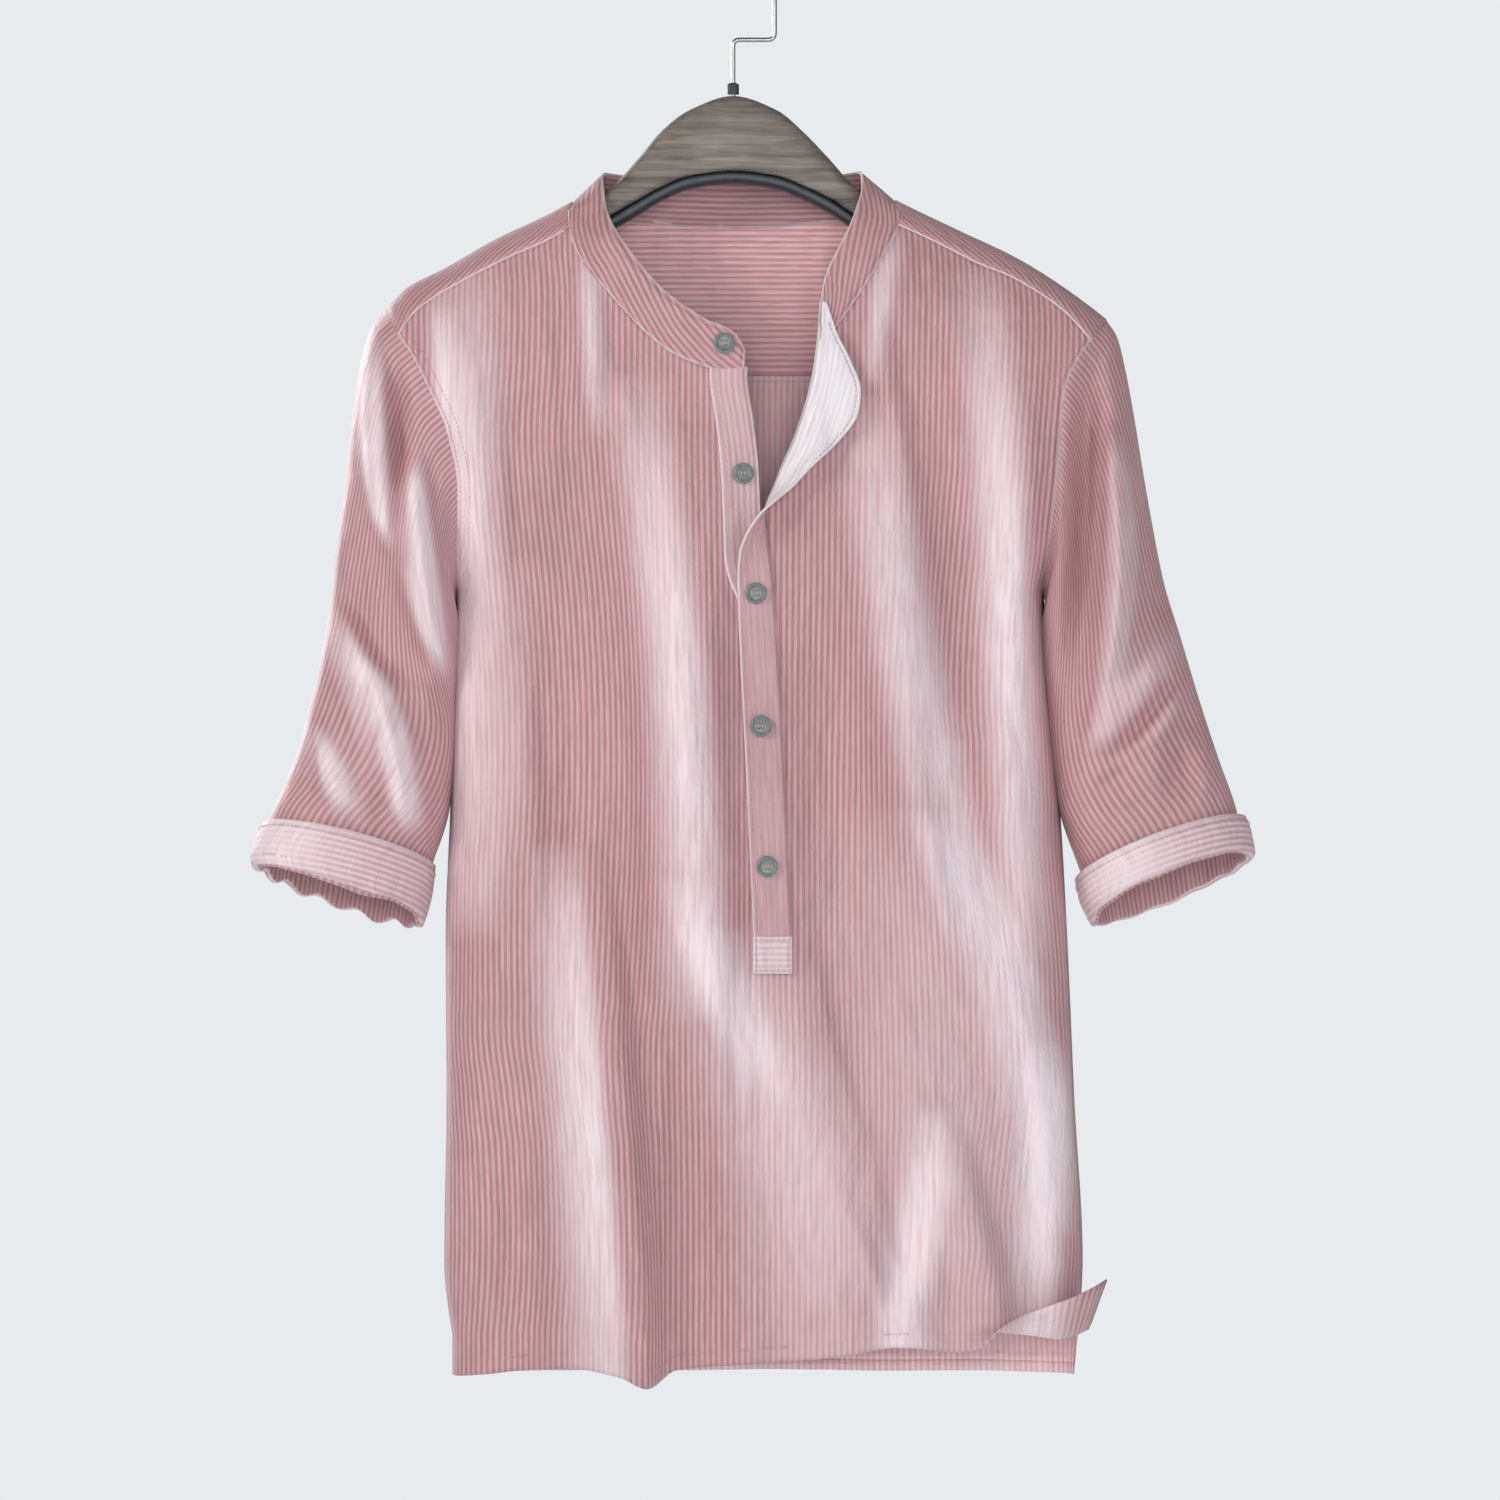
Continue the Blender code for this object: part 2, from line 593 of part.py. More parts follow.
def add_loft(name, sections, material, collection):
    """A solid through closed sections, with flat ends."""
    bm = bmesh.new()
    rings = [[bm.verts.new(point * MM) for point in section] for section in sections]
    sides = len(rings[0])
    for ring, following in zip(rings, rings[1:]):
        for i in range(sides):
            j = (i + 1) % sides
            bm.faces.new((ring[i], ring[j], following[j], following[i]))
    bm.faces.new(rings[0])
    bm.faces.new(rings[-1])
    bmesh.ops.recalc_face_normals(bm, faces=bm.faces)
    mesh = bpy.data.meshes.new(name)
    bm.to_mesh(mesh)
    bm.free()
    return add_object(name, mesh, material, collection)


# --------------------------------------------------------------------- front
def hem_foot(x):
    return {column: curve_of(HEM_FOOT, "x", column)(x) for column in HemFoot._fields}


def front_column(side_edge, slit_edge, corner, share, top):
    """Points of one column of the front, from its top edge to the hem fold.

    share is 0 at the side edge and 1 at the slit edge; corner is the height
    where the side edge starts, under the yoke.
    """
    def across(z):
        return blend(side_edge(min(z, corner)), slit_edge(z), share)

    foot = HEM_FOOT[0].fold
    for _ in range(4):
        foot = hem_foot(across(foot))["fold"]
    points = []
    for row in range(FRONT_ROWS + 1):
        z = blend(top, foot, (row / FRONT_ROWS) ** FRONT_CROWD)
        points.append((across(z), z))
    return points


def seam_points(seam, ease=0.0):
    """Points along one stretch of the front's top edge, ease below it."""
    return [(row.x, row.z - ease) for row in seam]


def half_front(yoke_seam, neck_seam, side_edge, slit_edge):
    """Columns of half the front, in the order of its seam tables."""
    tops = seam_points(yoke_seam, CURVED_SEAM)
    if yoke_seam[-1].x == neck_seam[0].x:
        tops += seam_points(neck_seam, SEAM)[1:]
    else:
        tops = seam_points(neck_seam, SEAM)[:-1] + tops
    side_x, corner = max(tops, key=lambda top: abs(top[0]))
    slit_x = min(tops, key=lambda top: abs(top[0]))[0]
    return [front_column(side_edge, slit_edge, corner, (x - side_x) / (slit_x - side_x), z)
            for x, z in tops]


def hem_band(x, z):
    """Points of the hem band under one column's foot."""
    foot = hem_foot(x)
    turn = math.radians(foot["turn"])
    depth = depth_at(FRONT, x, z)
    step = foot["band"] / HEM_ROWS
    points = []
    for row in range(1, HEM_ROWS + 1):
        angle = turn * min(row / 2, 1.0)
        z -= step * math.cos(angle)
        depth += step * math.sin(angle)
        points.append(Vector((x + foot["out"] * row / HEM_ROWS, -depth, z)))
    return points


def build_front(material, collection):
    """The front, with its slit open down to SLIT_ROW and its hem band."""
    left = half_front(YOKE_SEAM_LEFT, NECK_SEAM_LEFT, left_edge, slit_left)
    right = half_front(YOKE_SEAM_RIGHT, NECK_SEAM_RIGHT, right_edge, slit_right)
    middle = [(blend(a[0], b[0], 0.5), blend(a[1], b[1], 0.5)) for a, b in zip(left[-1], right[0])]
    columns = left + [middle] + right
    rows = [[skin(FRONT, *column[r]) for column in columns] for r in range(FRONT_ROWS + 1)]
    bands = [hem_band(*column[-1]) for column in columns]
    rows += [[band[r] for band in bands] for r in range(HEM_ROWS)]
    for row in rows:
        for edge in (row[0], row[-1]):
            edge.y = min(edge.y, -SIDE_SEAM)
    slit = {(r, c) for r in range(SLIT_ROW) for c in (len(left) - 1, len(left))}
    return add_cloth("front", rows, material, collection, missing=slit)


# ---------------------------------------------------------------------- back
def spread(share):
    """Columns crowd towards the two sides, where the cloth turns most."""
    return 0.5 - 0.5 * math.cos(math.pi * share)


def build_back(material, collection):
    """The back, from the yoke seam down to the hem."""
    rows = []
    for r in range(BACK_ROWS + 1):
        z = blend(BACK_YOKE_SEAM - SEAM, BACK_HEM, (r / BACK_ROWS) ** BACK_CROWD)
        places = [blend(left_edge(z), right_edge(z), spread(c / BACK_COLUMNS))
                  for c in range(BACK_COLUMNS + 1)]
        row = [skin(BACK, x, z) for x in places]
        for edge in (row[0], row[-1]):
            edge.y = max(edge.y, SIDE_SEAM)
        rows.append(row)
    return add_cloth("back", rows, material, collection)


# ---------------------------------------------------------------------- yoke
def yoke_column(side_edge, neck, share, front):
    """One column of a shoulder strip: up the back, over the shoulder, down the front.

    share is 0 at the armhole and 1 at the neck; front is the column's end on
    the front yoke seam.
    """
    ridge_x = blend(side_edge(0), neck, share)
    crown = shoulder_line(ridge_x)
    points = []
    for r in range(YOKE_BACK_ROWS):
        z = blend(BACK_YOKE_SEAM, crown, 1 - (1 - r / YOKE_BACK_ROWS) ** 2)
        points.append(skin(BACK, blend(side_edge(z), neck, share), z))
    points.append(Vector((ridge_x, 0, crown)))
    for r in range(1, YOKE_FRONT_ROWS + 1):
        down = (r / YOKE_FRONT_ROWS) ** 2
        points.append(skin(FRONT, blend(ridge_x, front[0], down), blend(crown, front[1], down)))
    return points


def shoulder_strip(seam, side_edge, neck):
    """Columns of one shoulder strip, in the order of its front seam."""
    ends = seam_points(seam)
    armhole = max(ends, key=lambda end: abs(end[0]))[0]
    inner = min(ends, key=lambda end: abs(end[0]))[0]
    return [yoke_column(side_edge, neck, (end[0] - armhole) / (inner - armhole), end)
            for end in ends]


def build_yoke(material, collection):
    """The yoke: a back piece that runs over both shoulders to the front."""
    neck_left = NECK_BACK[0].x - NECK_SEAM
    neck_right = NECK_BACK[-1].x + NECK_SEAM
    neck_seam = curve_of(NECK_BACK, "x", "z")
    strip_left = shoulder_strip(YOKE_SEAM_LEFT, left_edge, neck_left)
    strip_right = shoulder_strip(YOKE_SEAM_RIGHT, right_edge, neck_right)
    middle = []
    total = YOKE_BACK_ROWS + YOKE_FRONT_ROWS + 1
    for c in range(1, YOKE_MIDDLE_COLUMNS):
        x = blend(neck_left, neck_right, spread(c / YOKE_MIDDLE_COLUMNS))
        top = neck_seam(x) - SEAM
        ups = [1 - (1 - min(r / YOKE_BACK_ROWS, 1.0)) ** 2 for r in range(total)]
        middle.append([skin(BACK, x, blend(BACK_YOKE_SEAM, top, up)) for up in ups])
    columns = strip_left + middle + strip_right
    rows = [[column[r] for column in columns] for r in range(total)]
    first, last = len(strip_left) - 1, len(strip_left) + len(middle)
    gone = {(r, c) for r in range(YOKE_BACK_ROWS, total - 1) for c in range(first, last)}
    return add_cloth("yoke", rows, material, collection, missing=gone)


# --------------------------------------------------------------- collar band
def band_point(row, up):
    """A point on the collar band, up from its seam (0) to its top edge (1)."""
    seam_depth = depth_at(row.side, row.seam_x, row.seam_z)
    depth = seam_depth * blend(1.0, row.lean, up)
    x = blend(row.seam_x, row.top_x, up)
    z = blend(row.seam_z, row.top_z, up)
    return Vector((x, row.side * depth, z))


def build_band(material, collection):
    """The standing collar band, its foot just clear of the neck seam."""
    rows = []
    for r in range(BAND_ROWS + 1):
        up = blend(BAND_FOOT, 1.0, r / BAND_ROWS)
        rows.append([band_point(row, up) for row in BAND])
    return add_cloth("collar_band", rows, material, collection)


# ------------------------------------------------------------------ plackets
def placket_points(row):
    """Points across the over placket at one height, from its root outward."""
    turn = math.radians(row.turn)
    points = []
    for c in range(PLACKET_COLUMNS + 1):
        reach = row.width * c / PLACKET_COLUMNS
        x = row.root + reach * math.cos(turn)
        points.append(skin(FRONT, x, row.z, LAID_ON + reach * math.sin(turn)))
    return points


def build_placket_over(material, collection):
    rows = [placket_points(row) for row in PLACKET_OVER]
    return add_cloth("placket_over", rows, material, collection)


def build_placket_under(material, collection):
    """The strip on the left edge of the slit, in the plane of the front."""
    rows = []
    for r in range(UNDER_ROWS + 1):
        z = blend(UNDER_TOP, UNDER_FOOT, r / UNDER_ROWS)
        first = slit_left(z) + SIDE_SEAM
        width = min(UNDER_WIDTH, slit_right(z) - first - UNDER_CLEAR)
        places = [first + width * c / UNDER_COLUMNS for c in range(UNDER_COLUMNS + 1)]
        rows.append([skin(FRONT, x, z) for x in places])
    return add_cloth("placket_under", rows, material, collection)


def build_placket_box(material, collection):
    """The square sewn over the foot of the placket."""
    rows = []
    for r in range(BOX_ROWS + 1):
        z = blend(BOX_TOP, BOX_FOOT, r / BOX_ROWS)
        places = [blend(BOX_LEFT, BOX_RIGHT, c / BOX_COLUMNS) for c in range(BOX_COLUMNS + 1)]
        rows.append([skin(FRONT, x, z, LAID_ON) for x in places])
    return add_cloth("placket_box", rows, material, collection)


# ------------------------------------------------------------------- sleeves
def armhole_point(edge, top_z, turn):
    """A point of the armhole: turn is 0 on the shoulder and pi at the underarm."""
    z = blend(top_z, UNDERARM, (1 - math.cos(turn)) / 2)
    side = FRONT if math.sin(turn) > 0 else BACK
    x = edge(z)
    on_plane = abs(math.sin(turn)) < 0.01
    return Vector((x, 0.0 if on_plane else side * depth_at(side, x, z), z))


def ring_point(ring, turn):
    """A point of a sleeve ring: turn is 0 at its outer end, pi at its inner."""
    outer = Vector((ring.outer_x, 0, ring.outer_z))
    inner = Vector((ring.inner_x, 0, ring.inner_z))
    share = (1 - math.cos(turn)) / 2
    point = outer.lerp(inner, share)
    point.y = -ring.depth * math.copysign(abs(math.sin(turn)) ** SLEEVE_ROUND, math.sin(turn))
    point.z += ring.drop * math.sin(turn)
    return point


def sleeve_rows(rings, edge, folds):
    """Points of a sleeve, whose first ring follows the armhole."""
    away = math.copysign(ARMHOLE_SEAM, rings[-1].outer_x)
    rows = []
    for r, ring in enumerate(rings):
        row = []
        for s in range(SLEEVE_SIDES):
            turn = 2 * math.pi * s / SLEEVE_SIDES
            point = armhole_point(edge, rings[0].outer_z, turn)
            point.x += away
            if r > 0:
                own = ring_point(ring, turn)
                carried = point + (own - ring_point(rings[0], turn))
                point = carried.lerp(own, smooth_step(r / SLEEVE_BLEND))
                lift = folds_at(folds, point.x, point.z) * max(math.sin(turn), 0.0) ** 0.5
                point.y -= lift * smooth_step(r / 2) * smooth_step((len(rings) - 1 - r) / 2)
            row.append(point)
        rows.append(row)
    return rows


def build_sleeve(name, rings, edge, folds, material, collection):
    rows = sleeve_rows(rings, edge, folds)
    return add_cloth(name, rows, material, collection, wrap=True)


def build_cuff(name, rings, material, collection):
    rows = [[ring_point(ring, 2 * math.pi * s / SLEEVE_SIDES) for s in range(SLEEVE_SIDES)]
            for ring in rings]
    return add_cloth(name, rows, material, collection, wrap=True)


# ------------------------------------------------------------------- buttons
def add_turned(name, profile, sides, material, collection):
    """A solid turned about its z axis, from a profile of (radius, height)."""
    bm = bmesh.new()
    verts = [bm.verts.new(Vector((r, 0, z)) * MM) for r, z in profile]
    for first, second in zip(verts, verts[1:] + verts[:1]):
        if first.co.x > 0 or second.co.x > 0:
            bm.edges.new((first, second))
    mesh = bpy.data.meshes.new(name)
    bm.to_mesh(mesh)
    bm.free()
    piece = add_object(name, mesh, material, collection)
    turn = piece.modifiers.new("turned", "SCREW")
    turn.steps = turn.render_steps = sides
    turn.use_merge_vertices = True
    turn.merge_threshold = 0.00001
    turn.use_normal_calculate = True
    return piece


def add_button(name, material, collection):
    """A disc with a raised rim."""
    profile = [(row.radius * BUTTON_ACROSS / 2, row.height * BUTTON_THICK)
               for row in BUTTON_PROFILE]
    return add_turned(name, profile, BUTTON_SIDES, material, collection)


def add_drill(name, places, radius, depth, collection):
    """Pegs along z at the given places: the shape that drilled holes take."""
    bm = bmesh.new()
    for place in places:
        bmesh.ops.create_cone(bm, cap_ends=True, segments=8, radius1=radius * MM,
                              radius2=radius * MM, depth=depth * MM,
                              matrix=Matrix.Translation(place * MM))
    mesh = bpy.data.meshes.new(name)
    bm.to_mesh(mesh)
    bm.free()
    drill = bpy.data.objects.new(name, mesh)
    drill.hide_render = True
    drill.display_type = "WIRE"
    collection.objects.link(drill)
    return drill


def cut_holes(piece, drill):
    holes = piece.modifiers.new("holes", "BOOLEAN")
    holes.operation = "DIFFERENCE"
    holes.object = drill


def surface_normal(x, z):
    """Which way the front faces at this place."""
    step = 2.0
    along = skin(FRONT, x + step, z) - skin(FRONT, x - step, z)
    up = skin(FRONT, x, z + step) - skin(FRONT, x, z - step)
    return along.cross(up).normalized()


def build_buttons(material, collection, cutters):
    """The buttons, each drilled four times and turned to face as the cloth does."""
    quarters = [math.pi / 4 + quarter * math.pi / 2 for quarter in range(4)]
    places = [Vector((math.cos(turn), math.sin(turn), 0)) * BUTTON_HOLE_OUT for turn in quarters]
    for number, button in enumerate(BUTTONS, start=1):
        piece = add_button(f"button_{number}", material, collection)
        drill = add_drill(f"button_{number}_drill", places, BUTTON_HOLE, 4 * BUTTON_THICK, cutters)
        facing = surface_normal(button.x, button.z)
        for thing in (piece, drill):
            thing.location = (skin(FRONT, button.x, button.z)
                              + facing * BUTTON_LIFT[button.on]) * MM
            thing.rotation_mode = "QUATERNION"
            thing.rotation_quaternion = facing.to_track_quat("Z", "Y")
        cut_holes(piece, drill)


# -------------------------------------------------------------------- hanger
def rounded_section(x, top, foot, half, top_power, foot_power):
    """A closed section across the hanger, rounder where the power is nearer 2."""
    middle, tall = (top + foot) / 2, (top - foot) / 2
    points = []
    for i in range(HANGER_SIDES):
        angle = 2 * math.pi * (i + 0.5) / HANGER_SIDES
        power = 2 / (top_power if math.sin(angle) > 0 else foot_power)
        y = half * math.copysign(abs(math.cos(angle)) ** power, math.cos(angle))
        up = tall * math.copysign(abs(math.sin(angle)) ** power, math.sin(angle))
        points.append(Vector((x, y, middle + up)))
    return points


def hanger_sections(first, last, top_of, foot_of, half_of, powers):
    places = [blend(first, last, station / HANGER_STATIONS)
              for station in range(HANGER_STATIONS + 1)]
    return [rounded_section(x, top_of(x), foot_of(x), half_of(x), *powers) for x in places]


def build_hanger(wood, trim, collection, cutters):
    """The wooden body, drilled for the hook, and the dark strip under it."""
    top = curve_of(HANGER, "x", "top")
    foot = curve_of(HANGER, "x", "foot")
    half = curve_of(HANGER, "x", "half")
    strip_foot = curve_of(HANGER, "x", "strip")
    first, last = HANGER[0].x, HANGER[-1].x
    body = hanger_sections(first, last, top, foot, half, (WOOD_TOP_ROUND, WOOD_FOOT_ROUND))
    strip = hanger_sections(first + STRIP_SHORT, last - STRIP_SHORT,
                            lambda x: foot(x) - STRIP_CLEAR, strip_foot, lambda x: STRIP_HALF,
                            (STRIP_TOP_ROUND, STRIP_FOOT_ROUND))
    hanger = add_loft("hanger_wood", body, wood, collection)
    add_loft("hanger_strip", strip, trim, collection)
    drill = add_drill("hook_drill", [Vector((0, 0, HANGER_TOP))], HOOK_WIRE + SEAM,
                      2 * HOOK_HOLE, cutters)
    cut_holes(hanger, drill)


def quarter_turn(middle_x, middle_z, first, last):
    """Points on a bend of the wire, between two angles in degrees."""
    turns = [math.radians(blend(first, last, step / 4)) for step in range(5)]
    return [Vector((middle_x + HOOK_BEND * math.cos(turn), 0,
                    middle_z + HOOK_BEND * math.sin(turn))) for turn in turns]


def hook_path():
    """The wire's middle line: out of the wood, the jog, the arch, the free end."""
    arch_z = HOOK_WIRE - HOOK_ARCH
    points = [Vector((0, 0, HANGER_TOP - HOOK_HOLE + 2 * SEAM))]
    points += quarter_turn(HOOK_BEND, HOOK_JOG - HOOK_BEND, 180, 90)
    points += quarter_turn(HOOK_ARCH - HOOK_BEND, HOOK_JOG + HOOK_BEND, -90, 0)
    for step in range(13):
        turn = math.pi * step / 12
        points.append(Vector((math.cos(turn), 0, math.sin(turn))) * HOOK_ARCH
                      + Vector((0, 0, arch_z)))
    points.append(Vector((-HOOK_ARCH - HOOK_FLARE, 0, arch_z - HOOK_TAIL)))
    return points


def build_hook(steel, trim, collection):
    """The wire, a round one along hook_path(), and the ferrule at its foot."""
    curve = bpy.data.curves.new("hanger_hook", "CURVE")
    curve.dimensions = "3D"
    curve.bevel_depth = HOOK_WIRE * MM
    curve.bevel_resolution = 2
    curve.use_fill_caps = True
    curve.resolution_u = 1
    curve.render_resolution_u = 0
    points = hook_path()
    spline = curve.splines.new("POLY")
    spline.points.add(len(points) - 1)
    for target, point in zip(spline.points, points):
        target.co = (*(point * MM), 1)
    curve.materials.append(steel)
    collection.objects.link(bpy.data.objects.new("hanger_hook", curve))

    inner = HOOK_WIRE + SEAM
    low = HANGER_TOP + FERRULE_LIFT
    high = low + FERRULE_TALL
    profile = [(inner + SEAM, high + FERRULE_LIP), (FERRULE_RADIUS, high),
               (FERRULE_RADIUS, low), (inner, low)]
    add_turned("hanger_ferrule", profile, FERRULE_SIDES, trim, collection)


# ---------------------------------------------------------------------- main
def main():
    for old in list(bpy.data.objects):
        bpy.data.objects.remove(old)
    shirt = bpy.data.collections.new("popover_shirt_on_hanger")
    cutters = bpy.data.collections.new("cutters")
    for collection in (shirt, cutters):
        bpy.context.scene.collection.children.link(collection)

    cloth = make_finish(CLOTH_FINISH)
    wood = make_finish(WOOD_FINISH)
    trim = make_finish(TRIM_FINISH)
    steel = make_finish(STEEL_FINISH)
    button = make_finish(BUTTON_FINISH)

    build_front(cloth, shirt)
    build_back(cloth, shirt)
    build_yoke(cloth, shirt)
    build_band(cloth, shirt)
    build_placket_over(cloth, shirt)
    build_placket_under(cloth, shirt)
    build_placket_box(cloth, shirt)
    build_sleeve("sleeve_left", SLEEVE_LEFT, left_edge, SLEEVE_LEFT_FOLDS, cloth, shirt)
    build_sleeve("sleeve_right", SLEEVE_RIGHT, right_edge, SLEEVE_RIGHT_FOLDS, cloth, shirt)
    build_cuff("cuff_left", CUFF_LEFT, cloth, shirt)
    build_cuff("cuff_right", CUFF_RIGHT, cloth, shirt)
    build_buttons(button, shirt, cutters)
    build_hanger(wood, trim, shirt, cutters)
    build_hook(steel, trim, shirt)


main()
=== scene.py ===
# %% [markdown]
# # A striped popover shirt on a wooden hanger
#
# A popover shirt is a woven shirt that opens only half way down. This one has a
# standing band collar, a buttoned placket, half sleeves turned up into cuffs, and
# fine yarn-dyed stripes. It hangs nearly flat on a contoured hanger.
#
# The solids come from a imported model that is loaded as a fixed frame. They have
# the size and the large folds. This lesson lays thin, finely folded cloth on
# them, sews it, and gives every surface its finish.
#
# Cloth could be draped by a simulation. Here each fold has a known place, so the
# cloth is worked out from tables of folds instead, which gives the same shirt on
# every run.

# %% Load the frame
import math
from collections import namedtuple

import bmesh
import bpy
import numpy as np
from mathutils import Matrix, Vector, noise


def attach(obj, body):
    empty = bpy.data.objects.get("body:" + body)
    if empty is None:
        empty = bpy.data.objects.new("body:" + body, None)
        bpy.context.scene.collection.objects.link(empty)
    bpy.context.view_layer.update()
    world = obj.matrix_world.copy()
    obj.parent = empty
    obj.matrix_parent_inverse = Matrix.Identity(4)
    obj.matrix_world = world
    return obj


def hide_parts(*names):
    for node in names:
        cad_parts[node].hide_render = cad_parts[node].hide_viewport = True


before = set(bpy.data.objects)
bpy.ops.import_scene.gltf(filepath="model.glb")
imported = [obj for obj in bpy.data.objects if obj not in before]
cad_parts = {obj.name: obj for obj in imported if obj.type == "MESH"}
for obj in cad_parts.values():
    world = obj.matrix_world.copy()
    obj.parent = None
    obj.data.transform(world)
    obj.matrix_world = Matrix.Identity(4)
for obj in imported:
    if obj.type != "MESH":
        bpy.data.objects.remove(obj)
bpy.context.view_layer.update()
print("nodes in the frame:", len(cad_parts))

# %% [markdown]
# ## Numbers and curves
#
# Tables hold millimetres, as a pattern cutter would write them, and MM turns
# them into Blender's metres. A table has one named row for each place where
# something changes. Between the rows a smooth curve is read. Its slopes are
# limited, so that an edge never swings past the rows that it was given.

# %% Units and curves
MM = 0.001


def blend(first, last, share):
    return first + (last - first) * share


def smooth_step(share):
    """0 to 1 with soft ends."""
    share = np.clip(share, 0.0, 1.0)
    return share * share * (3.0 - 2.0 * share)


def curve_through(at, value):
    """A smooth curve through points, held at its first and last value outside them."""
    order = np.argsort(at)
    at, value = np.array(at, float)[order], np.array(value, float)[order]
    steps = np.diff(value) / np.diff(at)
    before, after = steps[:-1], steps[1:]
    same_way = before * after > 0
    total = np.where(same_way, before + after, 1.0)
    slopes = np.concatenate((steps[:1], np.where(same_way, 2 * before * after / total, 0.0),
                             steps[-1:]))

    def read(where):
        where = np.clip(where, at[0], at[-1])
        i = np.clip(np.searchsorted(at, where) - 1, 0, len(steps) - 1)
        width = at[i + 1] - at[i]
        t = (where - at[i]) / width
        return ((1 + 2 * t) * (1 - t) ** 2 * value[i] + t * (1 - t) ** 2 * width * slopes[i]
                + t * t * (3 - 2 * t) * value[i + 1] + t * t * (t - 1) * width * slopes[i + 1])

    return read


def curve_of(rows, key, column):
    """A smooth curve through one column of a table, read by another column."""
    return curve_through([getattr(row, key) for row in rows],
                         [getattr(row, column) for row in rows])


# %% [markdown]
# ## Camera
#
# The garment is seen square from the front with a long lens, so that its sides
# look parallel. The lens length follows from the distance and from how wide the
# view is at the shirt.

# %% Camera
VIEW_WIDTH = 0.900       # metres across the picture, at the shirt
VIEW_DISTANCE = 5.0
VIEW_CENTRE = Vector((0.0102, -0.020, -0.486))
SENSOR = 36.0

camera_data = bpy.data.cameras.new("camera")
camera_data.sensor_width = SENSOR
camera_data.lens = SENSOR * VIEW_DISTANCE / VIEW_WIDTH
camera = bpy.data.objects.new("camera", camera_data)
camera.location = VIEW_CENTRE - Vector((0, VIEW_DISTANCE, 0))
camera.rotation_euler = (math.pi / 2, 0, 0)
bpy.context.scene.collection.objects.link(camera)
bpy.context.scene.camera = camera
print("lens", round(camera_data.lens, 1), "mm")

# %% [markdown]
# ## Colours and nodes
#
# Colours are written as the eye names them, in sRGB hex. Shaders work in linear
# light, so one function turns each colour. A second small function adds a node
# with its settings and links, which keeps every material below short.


# %% Colour and node helpers
def linear(colour):
    """An sRGB hex colour as linear red, green, blue and alpha."""
    values = [int(colour[i:i + 2], 16) / 255 for i in (1, 3, 5)]
    return [v / 12.92 if v <= 0.04045 else ((v + 0.055) / 1.055) ** 2.4 for v in values] + [1.0]


def add_node(tree, kind, settings=None, **links):
    """Add a node. A link's name is the input's, with _ for a space, or in1 for input 1."""
    node = tree.nodes.new(kind)
    for name, value in (settings or {}).items():
        setattr(node, name, value)
    for name, value in links.items():
        numbered = name[:2] == "in" and name[2:].isdigit()
        socket = node.inputs[int(name[2:]) if numbered else name.replace("_", " ")]
        if isinstance(value, bpy.types.NodeSocket):
            tree.links.new(value, socket)
        else:
            socket.default_value = value
    return node


def new_material(name, base, roughness, metallic=0.0, specular=0.5, sheen=0.0):
    """A material with its Principled shader, whose fixed numbers sit on its own sockets."""
    material = bpy.data.materials.new(name)
    material.use_nodes = True
    shader = material.node_tree.nodes["Principled BSDF"]
    shader.inputs["Base Color"].default_value = linear(base)
    shader.inputs["Roughness"].default_value = roughness
    shader.inputs["Metallic"].default_value = metallic
    shader.inputs["Specular IOR Level"].default_value = specular
    shader.inputs["Sheen Weight"].default_value = sheen
    shader.inputs["Sheen Roughness"].default_value = 0.5
    return material, material.node_tree, shader


# %% [markdown]
# ## Meshes and pieces
#
# Every piece is built with bmesh or from a curve. Three small functions finish
# it: they take a bmesh over into a mesh, keep what modifiers make as a plain
# mesh, and make a mesh a piece of the shirt with one finish.

# %% Mesh helpers
shirt = bpy.data.collections.new("popover_shirt")
bpy.context.scene.collection.children.link(shirt)


def mesh_of(bm, name):
    """Take a bmesh over into a mesh."""
    mesh = bpy.data.meshes.new(name)
    bm.to_mesh(mesh)
    bm.free()
    return mesh


def plain_mesh(thing, name):
    """The mesh of an object as its modifiers leave it."""
    seen_by = bpy.context.evaluated_depsgraph_get()
    mesh = bpy.data.meshes.new_from_object(thing.evaluated_get(seen_by))
    mesh.name = name
    return mesh


def add_piece(name, mesh, finish=None):
    """A piece of the shirt. A finish that is given takes the place of any other."""
    if finish:
        mesh.materials.clear()
        mesh.materials.append(finish)
    piece = bpy.data.objects.new(name, mesh)
    shirt.objects.link(piece)
    return piece


# %% [markdown]
# ## Light and floor
#
# A plain studio. One large soft light from the left keeps the left flank of
# every fold bright and the right one dark, and a weak fill comes from the right.
# A wide light just above the camera reaches into the neck and the slit, and one
# more lights the back. The surroundings are pale.
#
# The floor lies well below, as under a clothes rail. It glows a little, so that
# it looks nearly as pale as the surroundings from every side.

# %% Light and floor
Lamp = namedtuple("Lamp", "name place size power colour")
LAMPS = [                # places and sizes in metres, power in watts
    Lamp("key_light", (-2.42, -1.88, 0.80), 1.2, 42.0, "#fffaf6"),
    Lamp("fill_light", (2.40, -2.20, 0.20), 1.6, 17.0, "#f6f9ff"),
    Lamp("front_light", (0.10, -4.40, 0.00), 1.6, 57.0, "#fbfcff"),
    Lamp("back_light", (-2.00, 2.50, 0.60), 1.4, 76.0, "#fbfcff"),
]
LIT_PLACE = Vector((0.0, 0.0, -0.45))
SURROUND = 0.21          # strength of the light that comes from all round
PALE_WALL = "#e7ebee"
FLOOR_HEIGHT = -1.9      # metres
FLOOR_RADIUS = 6.0
FLOOR_GLOW = 0.72        # light that the floor gives, as it would in a bright room


